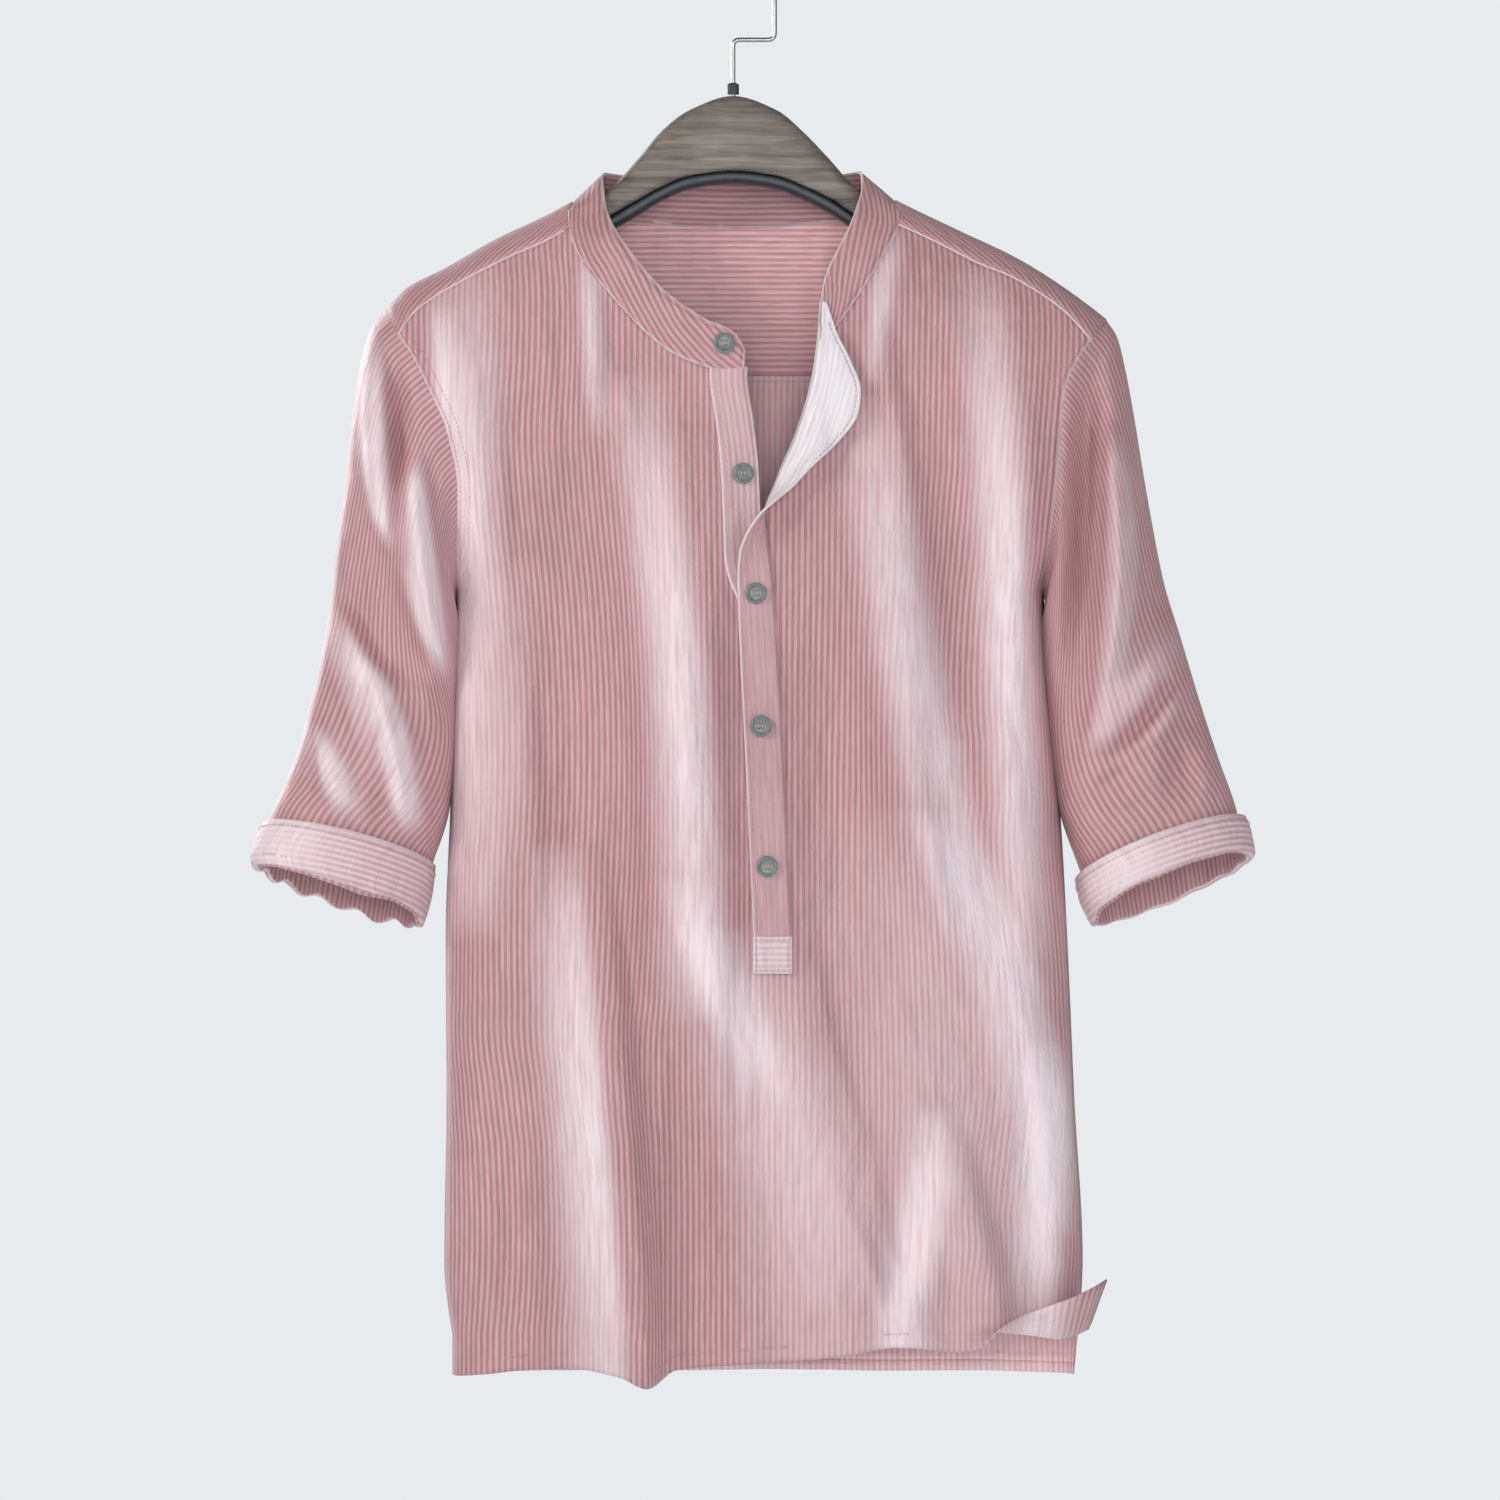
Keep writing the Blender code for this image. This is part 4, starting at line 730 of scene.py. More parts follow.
def cloth_across(side, x, z):
    """How much cloth lies between x = 0 and x, along a level line at height z."""
    heights = np.linspace(-870.0, -150.0, 121)     # every 6 mm
    places = np.linspace(-230.0, 230.0, 461)       # every millimetre
    depth = depth_at(side, places[None, :], heights[:, None], fine=False)
    rise = np.clip(np.diff(depth, axis=1), -STEEPEST, STEEPEST)
    step = np.hypot(np.diff(places)[None, :], rise)
    length = np.concatenate((np.zeros((len(heights), 1)), np.cumsum(step, axis=1)), axis=1)
    length -= length[:, len(places) // 2][:, None]
    row = np.clip((z - heights[0]) / (heights[1] - heights[0]), 0, len(heights) - 1.001)
    column = np.clip((x - places[0]) / (places[1] - places[0]), 0, len(places) - 1.001)
    r, c = row.astype(int), column.astype(int)
    lower = blend(length[r, c], length[r, c + 1], column - c)
    upper = blend(length[r + 1, c], length[r + 1, c + 1], column - c)
    return blend(lower, upper, row - r)


print("depth at the middle of the chest:", round(float(depth_at(FRONT, 0, -400)), 1), "mm")

# %% [markdown]
# ## Making a cloth panel
#
# A panel is a grid of points. One function turns any grid into a mesh with its
# grain map and its two attributes, and gives it a thin wall with Solidify.
# The wall is laid half on each side, so the panel stays where the solid is. Its
# back can have a finish of its own, which a placket's facing needs.

# %% Cloth panels
CLOTH_THICK = 0.9        # mm


def add_panel(name, points, grain, edge, finish, *, wrap=False, missing=None,
              thick=CLOTH_THICK, back_finish=None, flip=False, highlight_and_wear=0.0):
    """A cloth panel from a grid of points, in mm, with a grain map and edge distances."""
    rows, columns = points.shape[:2]
    edge = np.broadcast_to(edge, (rows, columns))
    highlight_and_wear = np.broadcast_to(highlight_and_wear, (rows, columns))
    bm = bmesh.new()
    grain_map = bm.loops.layers.uv.new("grain")
    edge_mm = bm.verts.layers.float.new("edge_mm")
    highlight_and_wear_layer = bm.verts.layers.float.new("highlight_and_wear")
    verts = [bm.verts.new(point) for point in points.reshape(-1, 3) * MM]
    for vert, from_edge, share in zip(verts, edge.ravel(), highlight_and_wear.ravel()):
        vert[edge_mm] = from_edge
        vert[highlight_and_wear_layer] = share
    for r in range(rows - 1):
        for c in range(columns if wrap else columns - 1):
            if missing is not None and missing[r, c]:
                continue
            corners = ((r, c), (r, c + 1), (r + 1, c + 1), (r + 1, c))
            if flip:
                corners = corners[::-1]
            face = bm.faces.new([verts[i * columns + j % columns] for i, j in corners])
            for loop, corner in zip(face.loops, corners):
                loop[grain_map].uv = grain[corner] * MM
    bmesh.ops.delete(bm, geom=[v for v in bm.verts if not v.link_faces], context="VERTS")
    mesh = mesh_of(bm, name)
    mesh.shade_smooth()
    panel = add_piece(name, mesh, finish)
    wall = panel.modifiers.new("cloth_wall", "SOLIDIFY")
    wall.thickness = thick * MM
    wall.offset = 0.0
    if back_finish:
        mesh.materials.append(back_finish)
        wall.material_offset = 1
    return panel


def unit(vectors):
    """Vectors with their length brought to 1."""
    return vectors / np.linalg.norm(vectors, axis=-1, keepdims=True)


def along_rows(points):
    """How far each point is down its column, in mm of cloth."""
    steps = np.linalg.norm(np.diff(points, axis=0), axis=-1)
    return np.concatenate((np.zeros((1, points.shape[1])), np.cumsum(steps, axis=0)))


def along_columns(points):
    """How far each point is along its row, in mm of cloth."""
    steps = np.linalg.norm(np.diff(points, axis=1), axis=-1)
    return np.concatenate((np.zeros((points.shape[0], 1)), np.cumsum(steps, axis=1)), axis=1)


def area_of(panel):
    """The area of one side of a panel, in square metres."""
    return sum(face.area for face in panel.data.polygons)


# %% [markdown]
# ## Front
#
# The front is one cut piece with a slit for the placket. Its columns run from
# the yoke and neck seams down to the hem, and spread between the side edge and
# the slit edge. The hem band turns outward and up at the lower right corner,
# where the photographed shirt is flipped up. Along the seams the cloth dips
# under its neighbour, as sewn cloth does.

# %% Front
FRONT_ROWS = 215
FRONT_CROWD = 1.18       # power with which rows crowd towards the top
YOKE_COLUMNS = 34
NECK_COLUMNS = 30
BRIDGE_COLUMNS = 6       # columns that join the two halves below the slit
HEM_ROWS = 9
HEM_BEND = 0.55          # share of the hem band that bends where it is flipped
HEM_GROOVE = 7.0         # mm from the foot of a hem to the groove of its stitches
TUCK = 2.0               # mm of cloth that goes under the neighbour at a seam
TUCK_DIP = 0.9           # mm that it dips there
SIDE_GAP = 0.5           # mm from the side seam to the plane y = 0
HIGHLIGHT_AND_WEAR_STRENGTH = 0.88       # how pale the painted highlights and wear make the places where they are strongest

hem_at = {column: curve_of(HEM_FOOT, "x", column) for column in HemFoot._fields[1:]}


def top_edge(*seams):
    """Places along half the front's top edge: seams that meet, each with its columns."""
    x, z = np.empty(0), np.empty(0)
    for seam, columns in seams:
        along = np.linspace(seam[0].x, seam[-1].x, columns + 1)
        x = np.concatenate((x[:-1], along))
        z = np.concatenate((z[:-1], curve_of(seam, "x", "z")(along)))
    return x, z


def half_front(top_x, top_z, side_edge, slit_edge):
    """The x and z of half the front's grid, down to the hem fold."""
    side = np.argmax(np.abs(top_x))
    slit = np.argmin(np.abs(top_x))
    share = (top_x - top_x[side]) / (top_x[slit] - top_x[side])
    corner = top_z[side]

    def across(z):
        return blend(side_edge(np.minimum(z, corner)), slit_edge(z), share)

    foot = np.full(top_x.shape, HEM_FOOT[0].fold)
    for _ in range(6):   # the fold's height hangs on x, and x on that height
        foot = hem_at["fold"](across(foot))
    down = (np.arange(FRONT_ROWS + 1) / FRONT_ROWS)[:, None] ** FRONT_CROWD
    z = blend(top_z[None, :] + TUCK, foot[None, :], down)
    return across(z), z


def hem_band(x, z):
    """Rows of the hem band under the front's last row."""
    turn = np.radians(hem_at["turn"](x))
    step = hem_at["band"](x) / HEM_ROWS
    depth = depth_at(FRONT, x, z)
    rows = []
    for row in range(1, HEM_ROWS + 1):
        angle = turn * smooth_step(row / (HEM_BEND * HEM_ROWS))
        z = z - step * np.cos(angle)
        depth = depth + step * np.sin(angle)
        rows.append(np.stack((x + hem_at["out"](x) * row / HEM_ROWS, -depth, z), axis=-1))
    return rows


def tuck_under(above_seam):
    """How far cloth dips that goes under its neighbour, by its height above the seam."""
    return -TUCK_DIP * np.maximum(above_seam + TUCK, 0.0) / (2 * TUCK)


def build_front():
    """The front, in two halves that the bridge joins below the slit."""
    left_top = top_edge((YOKE_SEAM_LEFT, YOKE_COLUMNS), (NECK_SEAM_LEFT, NECK_COLUMNS))
    right_top = top_edge((NECK_SEAM_RIGHT, NECK_COLUMNS), (YOKE_SEAM_RIGHT, YOKE_COLUMNS))
    left = half_front(*left_top, left_edge, slit_left)
    right = half_front(*right_top, right_edge, slit_right)
    bridge = [np.linspace(a[:, -1], b[:, 0], BRIDGE_COLUMNS + 2, axis=1)[:, 1:-1]
              for a, b in zip(left, right)]
    x = np.hstack((left[0], bridge[0], right[0]))
    z = np.hstack((left[1], bridge[1], right[1]))
    points = skin(FRONT, x, z, tuck_under(z - (z[0] - TUCK)))
    points = np.concatenate((points, np.stack(hem_band(x[-1], z[-1]))))
    points[:, 0, 1] = np.minimum(points[:, 0, 1], -SIDE_GAP)
    points[:, -1, 1] = np.minimum(points[:, -1, 1], -SIDE_GAP)
    down = along_rows(points)
    seen_x = np.vstack((x, np.repeat(x[-1:], HEM_ROWS, axis=0)))
    seen_z = np.vstack((z, np.repeat(z[-1:], HEM_ROWS, axis=0)))
    grain = np.stack((cloth_across(FRONT, seen_x, seen_z), -down), axis=-1)
    to_top = np.maximum(down - TUCK, 0)
    to_foot = np.abs(down[-1:] - down - HEM_GROOVE) + STITCH_IN
    to_side = np.minimum(seen_x - left_edge(seen_z), right_edge(seen_z) - seen_x)
    to_side = np.where(seen_z > UNDERARM, to_side, NO_SEAM)
    edge = np.minimum(np.minimum(to_top, to_foot), to_side)
    first, last = left[0].shape[1] - 1, left[0].shape[1] + BRIDGE_COLUMNS
    missing = np.zeros(points.shape[:2], bool)
    missing[:-HEM_ROWS, first:last] = z[:, first:last] > SLIT_FOOT
    # The front's pale bands are painted highlights on its folds, partly wear.
    return add_panel("front_panel", points, grain, edge, striped_cotton, missing=missing,
                     flip=True, highlight_and_wear=HIGHLIGHT_AND_WEAR_STRENGTH * folds_at(FRONT_HIGHLIGHT_AND_WEAR_BANDS, seen_x, seen_z))


front_panel = build_front()
print("front:", round(area_of(front_panel), 3), "square metres")

# %% [markdown]
# ## Back
#
# The back hangs from the yoke seam to its own, longer hem. It shows below the
# flipped corner and through the neck.

# %% Back
BACK_ROWS = 190
BACK_COLUMNS = 130
BACK_CROWD = 1.1         # power with which rows crowd towards the top
SIDES_CROWD = 0.6        # how strongly columns crowd towards the sides
BACK_CREST = 8.0         # mm: a crest as high as this gets the palest painted highlight
BACK_HIGHLIGHT_AND_WEAR = 0.5        # how strong the painted highlight on the back's crests is, against the front's


def spread(share):
    """Columns crowd towards the two sides, where the cloth turns most."""
    return 0.5 - 0.5 * np.cos(math.pi * share)


def build_back():
    """The back, whose inside has a paler finish of its own: painted light for the shade inside."""
    share = np.linspace(0, 1, BACK_COLUMNS + 1)[None, :]
    down = (np.linspace(0, 1, BACK_ROWS + 1)[:, None]) ** BACK_CROWD
    z = blend(BACK_YOKE_SEAM + TUCK, BACK_HEM, down) + 0 * share
    x = blend(left_edge(z), right_edge(z), blend(share, spread(share), SIDES_CROWD))
    points = skin(BACK, x, z, tuck_under(z - BACK_YOKE_SEAM))
    points[:, 0, 1] = np.maximum(points[:, 0, 1], SIDE_GAP)
    points[:, -1, 1] = np.maximum(points[:, -1, 1], SIDE_GAP)
    grain = np.stack((cloth_across(BACK, x, z), z), axis=-1)
    to_side = np.minimum(x - left_edge(z), right_edge(z) - x)
    to_side = np.where(z > UNDERARM, to_side, NO_SEAM)
    to_foot = np.abs(z - BACK_HEM - HEM_GROOVE) + STITCH_IN
    edge = np.minimum(np.minimum(to_side, to_foot), BACK_YOKE_SEAM - z)
    crests = np.clip(folds_at(BACK_FOLDS, x, z) / BACK_CREST, 0.0, 1.0)
    return add_panel("back_panel", points, grain, edge, striped_cotton,
                     back_finish=back_inside_painted_light, highlight_and_wear=BACK_HIGHLIGHT_AND_WEAR * HIGHLIGHT_AND_WEAR_STRENGTH * crests)


back_panel = build_back()
print("back:", round(area_of(back_panel), 3), "square metres")

# %% [markdown]
# ## Yoke
#
# The yoke is cut across the grain: it covers the shoulder blades and runs over
# both shoulders to the front, so its stripes lie level at the back and along the
# shoulders at the front. Its edges lap over the front and back, and are stitched
# down.

# %% Yoke
YOKE_BACK_ROWS = 44
YOKE_FRONT_ROWS = 12
YOKE_MIDDLE_COLUMNS = 70
LAP = 0.7                # mm that the yoke lies above what it is sewn to
UNDER_BAND = 0.5         # mm that the yoke runs up under the collar band
OVER_FRONT = 1.0         # mm that the yoke laps down over the front


def yoke_strip(seam, side_edge, neck):
    """Columns of one shoulder strip: up the back, over the shoulder, down the front."""
    front_x = np.linspace(seam[0].x, seam[-1].x, YOKE_COLUMNS + 1)
    front_z = curve_of(seam, "x", "z")(front_x)
    armhole, inner = max(seam[0].x, seam[-1].x, key=abs), min(seam[0].x, seam[-1].x, key=abs)
    share = (front_x - armhole) / (inner - armhole)
    ridge_x = blend(side_edge(0), neck, share)
    crown = shoulder_line(ridge_x)
    up = (1 - (1 - np.arange(YOKE_BACK_ROWS) / YOKE_BACK_ROWS) ** 2)[:, None]
    z = blend(BACK_YOKE_SEAM, crown[None, :], up)
    x = blend(side_edge(z), neck, share[None, :])
    back = skin(BACK, x, z, LAP)
    ridge = np.stack((ridge_x, 0 * ridge_x, crown + LAP), axis=-1)[None]
    down = ((np.arange(1, YOKE_FRONT_ROWS + 1) / YOKE_FRONT_ROWS) ** 2)[:, None]
    front = skin(FRONT, blend(ridge_x, front_x, down), blend(crown, front_z - OVER_FRONT, down),
                 LAP)
    return np.concatenate((back, ridge, front))


def build_yoke():
    """Two shoulder strips and the part between them behind the neck."""
    neck_left, neck_right = NECK_BACK[0].x + LAP, NECK_BACK[-1].x - LAP
    strip_left = yoke_strip(YOKE_SEAM_LEFT, left_edge, neck_left)
    strip_right = yoke_strip(YOKE_SEAM_RIGHT, right_edge, neck_right)
    share = spread(np.arange(1, YOKE_MIDDLE_COLUMNS) / YOKE_MIDDLE_COLUMNS)
    x = blend(neck_left, neck_right, share)[None, :]
    total = YOKE_BACK_ROWS + YOKE_FRONT_ROWS + 1
    up = 1 - (1 - np.minimum(np.arange(total) / YOKE_BACK_ROWS, 1.0)) ** 2
    top = curve_of(NECK_BACK, "x", "z")(x) + UNDER_BAND
    z = blend(BACK_YOKE_SEAM, top, up[:, None])
    middle = skin(BACK, x + 0 * z, z, LAP)
    points = np.concatenate((strip_left, middle, strip_right), axis=1)
    first, last = strip_left.shape[1] - 1, strip_left.shape[1] + middle.shape[1]
    missing = np.zeros(points.shape[:2], bool)
    missing[YOKE_BACK_ROWS:, first:last] = True
    from_back = along_rows(points)
    grain = np.stack((from_back, points[..., 0]), axis=-1)
    to_front = from_back[-1:] - from_back + NO_SEAM * missing[-1:]
    return add_panel("yoke_panel", points, grain, np.minimum(from_back, to_front),
                     striped_cotton, missing=missing, back_finish=yoke_inside_painted_light, flip=True)


yoke_panel = build_yoke()
print("yoke:", round(area_of(yoke_panel), 3), "square metres")

# %% [markdown]
# ## Collar band
#
# A band collar is two layers of one curved piece, sewn to the neck and standing
# up. At the middle of the back its stripes run along it. Because the flat piece
# is curved, they cross it at a growing slant towards the front. grain_of_band()
# rolls the band out flat to find where each place was on the cloth.

# %% Collar band
BAND_THICK = 1.5         # mm: two layers
BAND_STEPS = 8           # columns between two rows of the table
BAND_ROWS = 12
BAND_OUT = 0.5           # mm that the band stands out from the shirt's skin
BAND_BELOW = 0.06        # share of its height that it runs on below its seam
BAND_BULGE = 0.9         # mm that its middle stands out
BAND_DIP = 0.4           # mm that the part below the seam lies in
BAND_SLANT = 34.0        # degrees that the flat band has turned at its ends

Band = namedtuple("Band", "seam_x seam_z top_x top_z side lean")
BAND = [
    Band(6.8, -258.3, 6.8, -246.5, FRONT, 1.00), Band(-3.0, -258.1, 2.6, -238.6, FRONT, 1.00),
    Band(-11.4, -256.8, -5.0, -233.0, FRONT, 1.00),
    Band(-24.0, -252.6, -14.5, -229.3, FRONT, 0.99),
    Band(-37.8, -246.0, -25.5, -222.6, FRONT, 0.98),
    Band(-52.8, -234.0, -38.0, -213.6, FRONT, 0.97),
    Band(-67.8, -218.4, -51.0, -200.6, FRONT, 0.96),
    Band(-80.4, -203.4, -61.6, -187.0, FRONT, 0.94),
    Band(-90.0, -191.4, -69.5, -175.4, FRONT, 0.90),
    Band(-97.2, -174.0, -75.6, -161.4, FRONT, 0.80),
    Band(-98.0, -162.0, -77.6, -148.6, FRONT, 0.55),
    Band(-96.6, -157.2, -78.6, -140.4, BACK, 1.00),
    Band(-93.4, -158.8, -76.6, -137.8, BACK, 1.00),
    Band(-86.0, -161.9, -71.0, -138.0, BACK, 0.98),
    Band(-66.0, -165.0, -55.0, -139.4, BACK, 0.94),
    Band(-34.0, -167.2, -29.0, -140.2, BACK, 0.93), Band(0.0, -168.0, 0.0, -140.4, BACK, 0.93),
    Band(34.0, -167.0, 29.0, -140.0, BACK, 0.93), Band(66.0, -164.6, 55.0, -138.9, BACK, 0.94),
    Band(86.5, -161.2, 70.6, -137.4, BACK, 0.98), Band(94.0, -158.4, 75.4, -137.0, BACK, 1.00),
    Band(97.5, -156.2, 77.4, -139.4, BACK, 1.00), Band(98.6, -161.0, 77.2, -148.0, FRONT, 0.55),
    Band(97.8, -172.4, 74.6, -158.0, FRONT, 0.80), Band(92.0, -184.0, 70.6, -169.6, FRONT, 0.90),
    Band(83.4, -199.2, 63.0, -185.6, FRONT, 0.95), Band(74.0, -214.0, 56.4, -199.0, FRONT, 0.98),
    Band(62.0, -231.0, 53.2, -211.0, FRONT, 1.00), Band(50.5, -245.4, 51.6, -231.0, FRONT, 1.00),
]


def band_edges():
    """The band's seam line and top line, a point for each column."""
    knots = np.arange(len(BAND), dtype=float)
    fine = np.linspace(0, len(BAND) - 1, (len(BAND) - 1) * BAND_STEPS + 1)
    values = {column: [getattr(row, column) for row in BAND] for column in Band._fields}
    x, z = np.array(values["seam_x"]), np.array(values["seam_z"])
    sides = np.array(values["side"])
    depth = np.where(sides == FRONT, depth_at(FRONT, x, z), depth_at(BACK, x, z))
    seam_y = sides * (depth + BAND_OUT)
    top_y = sides * (depth * np.array(values["lean"]) + BAND_OUT)

    def line(along_x, along_y, along_z):
        return np.stack([curve_through(knots, v)(fine) for v in (along_x, along_y, along_z)],
                        axis=-1)

    seam = line(values["seam_x"], seam_y, values["seam_z"])
    top = line(values["top_x"], top_y, values["top_z"])
    return seam, top


def grain_of_band(length, up):
    """Where a place on the band was on the flat cloth: across and along the stripes."""
    middle = length[-1] / 2
    share = (length - middle) / middle
    slant = np.radians(BAND_SLANT) * np.sign(share) * share ** 2
    step = np.diff(length, prepend=length[:1])
    rise = np.cumsum(np.sin(slant) * step)
    run = np.cumsum(np.cos(slant) * step)
    return np.stack((rise[None] + up * np.cos(slant)[None],
                     run[None] - up * np.sin(slant)[None]), axis=-1)


def build_band():
    """The collar band, whose middle stands out a little, as turned cloth does."""
    seam, top = band_edges()
    up = np.linspace(-BAND_BELOW, 1.0, BAND_ROWS + 1)[:, None]
    points = blend(seam[None], top[None], up[..., None])
    away = points - points.mean(axis=(0, 1))
    away[..., 2] = 0
    out = BAND_BULGE * np.sin(np.clip(up, 0, 1) * math.pi) - BAND_DIP * (up < 0)
    points = points + unit(away) * out[..., None]
    length = along_columns(seam[None])[0]
    tall = np.linalg.norm(top - seam, axis=-1)[None]
    grain = grain_of_band(length, up * tall)
    ends = np.minimum(length, length[-1] - length)[None]
    edge = np.minimum(np.minimum((up + BAND_BELOW) * tall, (1 - up) * tall), ends)
    return add_panel("collar_band_panel", points, grain, edge, striped_cotton,
                     thick=BAND_THICK)


collar_band_panel = build_band()
print("collar band:", round(area_of(collar_band_panel), 4), "square metres")

# %% [markdown]
# ## Placket
#
# The under strip lies in the slit on the left and carries a button. The over
# strip laps the slit from the right. Above the last fastened button it turns
# over and lies back on the chest, and shows its pale facing. Each row of the
# table says how far it has turned, from 180 degrees where it lies closed to near
# 0 where it is folded back. Below that part it hides the under strip. A square
# of cloth covers the foot of the slit.

# %% Placket
LAID_ON = 1.9            # mm from the front to the strip that lies on it
BOX_ON = 0.4             # mm from that strip to the square on its foot
UNDER_OUT = 0.7          # mm from the front to the under strip
UNDER_IN = 2.0           # mm that the under strip reaches under the slit's edge
UNDER_CLEAR = 0.6        # mm that it keeps clear of the slit's other edge
OVER_THICK = 1.4         # mm
STRIP_THICK = 1.2        # mm: the under strip and the square
FLAP_WAVE = 0.8          # mm that the over strip waves
PLACKET_ROWS = 180
PLACKET_COLUMNS = 12
UNDER_TOP, UNDER_FOOT, UNDER_WIDTH = -257.0, -597.0, 20.5
BOX_TOP, BOX_FOOT, BOX_LEFT, BOX_RIGHT = -597.4, -619.6, 12.0, 35.4

Placket = namedtuple("Placket", "z root width turn")
PLACKET_OVER = [
    Placket(-598, 35.4, 23.0, 180), Placket(-560, 33.6, 23.0, 180),
    Placket(-520, 31.8, 23.0, 180), Placket(-486, 30.2, 23.0, 180),
    Placket(-450, 28.2, 23.0, 180), Placket(-415, 26.2, 22.5, 180),
    Placket(-388, 24.2, 21.5, 178), Placket(-370, 22.0, 19.0, 166),
    Placket(-357, 20.0, 16.0, 138), Placket(-346, 19.0, 14.0, 104),
    Placket(-337, 21.0, 14.0, 70), Placket(-328, 24.8, 15.5, 40),
    Placket(-318, 28.4, 19.5, 24), Placket(-303, 35.0, 28.0, 14),
    Placket(-286, 41.0, 34.0, 10), Placket(-271, 45.3, 31.5, 9),
    Placket(-254, 48.6, 22.5, 10), Placket(-236, 50.8, 11.5, 14),
    Placket(-218, 52.2, 4.0, 22),
]


def over_at(z):
    """Root, width and turn of the over strip at height z, the turn in radians."""
    root, width, turn = (curve_of(PLACKET_OVER, "z", column)(z)
                         for column in Placket._fields[1:])
    return root, width, np.radians(turn)


def build_placket_over():
    """The strip on the slit's right edge, with its turned-back part."""
    z = np.linspace(PLACKET_OVER[0].z, PLACKET_OVER[-1].z, PLACKET_ROWS + 1)[:, None]
    root, width, turn = over_at(z)
    reach = width * np.linspace(0, 1, PLACKET_COLUMNS + 1)[None, :]
    roll = np.minimum(1.0, 1.4 * reach / np.maximum(width, 1))
    inner = np.sin(np.pi * np.clip(reach / width, 0, 1))
    wave = FLAP_WAVE * noise_at(reach, z, 14.0, 30.0, 6.0) * inner
    lift = LAID_ON * np.where(turn < math.pi / 2, blend(0.3, 1.0, roll), 1.0)
    points = skin(FRONT, root + reach * np.cos(turn), z, lift + reach * np.sin(turn) + wave)
    grain = np.stack((reach + 0 * z, along_rows(points)), axis=-1)
    edge = np.minimum(reach + WORN_AND_HIGHLIT_EDGE + 0 * z, width - reach)
    return add_panel("placket_over_panel", points, grain, edge, rose_facing,
                     thick=OVER_THICK, back_finish=pale_facing, flip=True)


def build_placket_under():
    """The strip in the slit, as wide as the slit lets it be."""
    z = np.linspace(UNDER_TOP, UNDER_FOOT, PLACKET_ROWS + 1)[:, None]
    first = slit_left(z) - UNDER_IN
    width = np.minimum(UNDER_WIDTH + UNDER_IN, slit_right(z) - first - UNDER_CLEAR)
    share = np.linspace(0, 1, PLACKET_COLUMNS + 1)[None, :]
    points = skin(FRONT, first + width * share, z + 0 * share, UNDER_OUT)
    grain = np.stack((points[..., 0] - slit_left(z), z + 0 * share), axis=-1)
    edge = np.minimum(width * share, width * (1 - share))
    return add_panel("placket_under_panel", points, grain, edge, striped_cotton,
                     thick=STRIP_THICK, flip=True, highlight_and_wear=0.3)


def build_placket_box():
    """The square of cloth over the foot of the slit, with its stripes level."""
    z = np.linspace(BOX_TOP, BOX_FOOT, 13)[:, None]
    x = np.linspace(BOX_LEFT, BOX_RIGHT, 13)[None, :]
    points = skin(FRONT, x + 0 * z, z + 0 * x, LAID_ON + BOX_ON)
    grain = np.stack((x + 0 * z, z + 0 * x), axis=-1)
    edge = np.minimum(np.minimum(x - BOX_LEFT, BOX_RIGHT - x),
                      np.minimum(BOX_TOP - z, z - BOX_FOOT))
    return add_panel("placket_box_panel", points, grain, edge, cuff_cotton,
                     thick=STRIP_THICK, flip=True, highlight_and_wear=0.4)


placket_over_panel = build_placket_over()
placket_under_panel = build_placket_under()
placket_box_panel = build_placket_box()

# %% [markdown]
# ## Sleeves and cuffs
#
# A sleeve is a tube that starts as the armhole's shape and soon takes its own.
# Its rings come from a table: the outer end, the inner end next to the body, the
# half depth and how far the back hangs below the front. The seam of a real
# sleeve runs along its inner side, so the grain map is cut there too.
#
# At its end the sleeve rolls outward and up, which makes the cuff. The cuff's
# outer layer is a band of its own with the stripes running round it, and the
# roll below it still shows the sleeve's stripes from the side.

# %% Tables of sleeves and cuffs
Ring = namedtuple("Ring", "outer_x outer_z inner_x inner_z depth drop")
SLEEVE_LEFT = [
    Ring(-208.5, -221, -166.6, -392, 38, 0), Ring(-217.0, -231, -168.4, -399, 38, 0),
    Ring(-223.5, -252, -168.8, -409, 38, 0), Ring(-228.5, -282, -169.4, -421, 37, 0),
    Ring(-232.8, -322, -170.2, -437, 36, 0), Ring(-238.5, -362, -171.0, -454, 35, 0),
    Ring(-243.8, -408, -171.4, -472, 34, 1), Ring(-251.4, -446, -172.4, -492, 33, 3),
    Ring(-260.0, -480, -174.6, -514, 33, 5), Ring(-270.0, -508, -178.5, -536, 34, 8),
    Ring(-279.0, -528, -182.5, -556, 36, 10), Ring(-285.6, -555.4, -190.4, -590.2, 36.8, 10),
]
SLEEVE_RIGHT = [
    Ring(224.5, -227.4, 187.0, -392, 38, 0), Ring(231.0, -238, 189.0, -399, 38, 0),
    Ring(236.0, -258, 189.8, -409, 38, 0), Ring(241.0, -285, 190.6, -421, 37, 0),
    Ring(246.4, -318, 191.6, -437, 36, 0), Ring(252.0, -350, 193.0, -454, 35, 0),
    Ring(259.0, -385, 194.6, -472, 34, 1), Ring(269.5, -420, 196.6, -492, 33, 3),
    Ring(281.0, -458, 199.6, -513, 33, 5), Ring(292.0, -492, 204.6, -536, 34, 8),
    Ring(302.5, -522, 210.5, -560, 36, 11), Ring(308.8, -550.4, 219.4, -589.2, 36.8, 12),
]
CUFF_LEFT = [
    Ring(-282.8, -531.0, -179.8, -556.0, 39.6, 10), Ring(-286.8, -541.0, -182.2, -570.0, 40.2, 10),
    Ring(-289.2, -552.0, -186.2, -586.0, 39.6, 10), Ring(-288.2, -556.6, -188.4, -591.0, 38.0, 10),
    Ring(-286.0, -556.6, -190.2, -591.4, 36.9, 10),
]
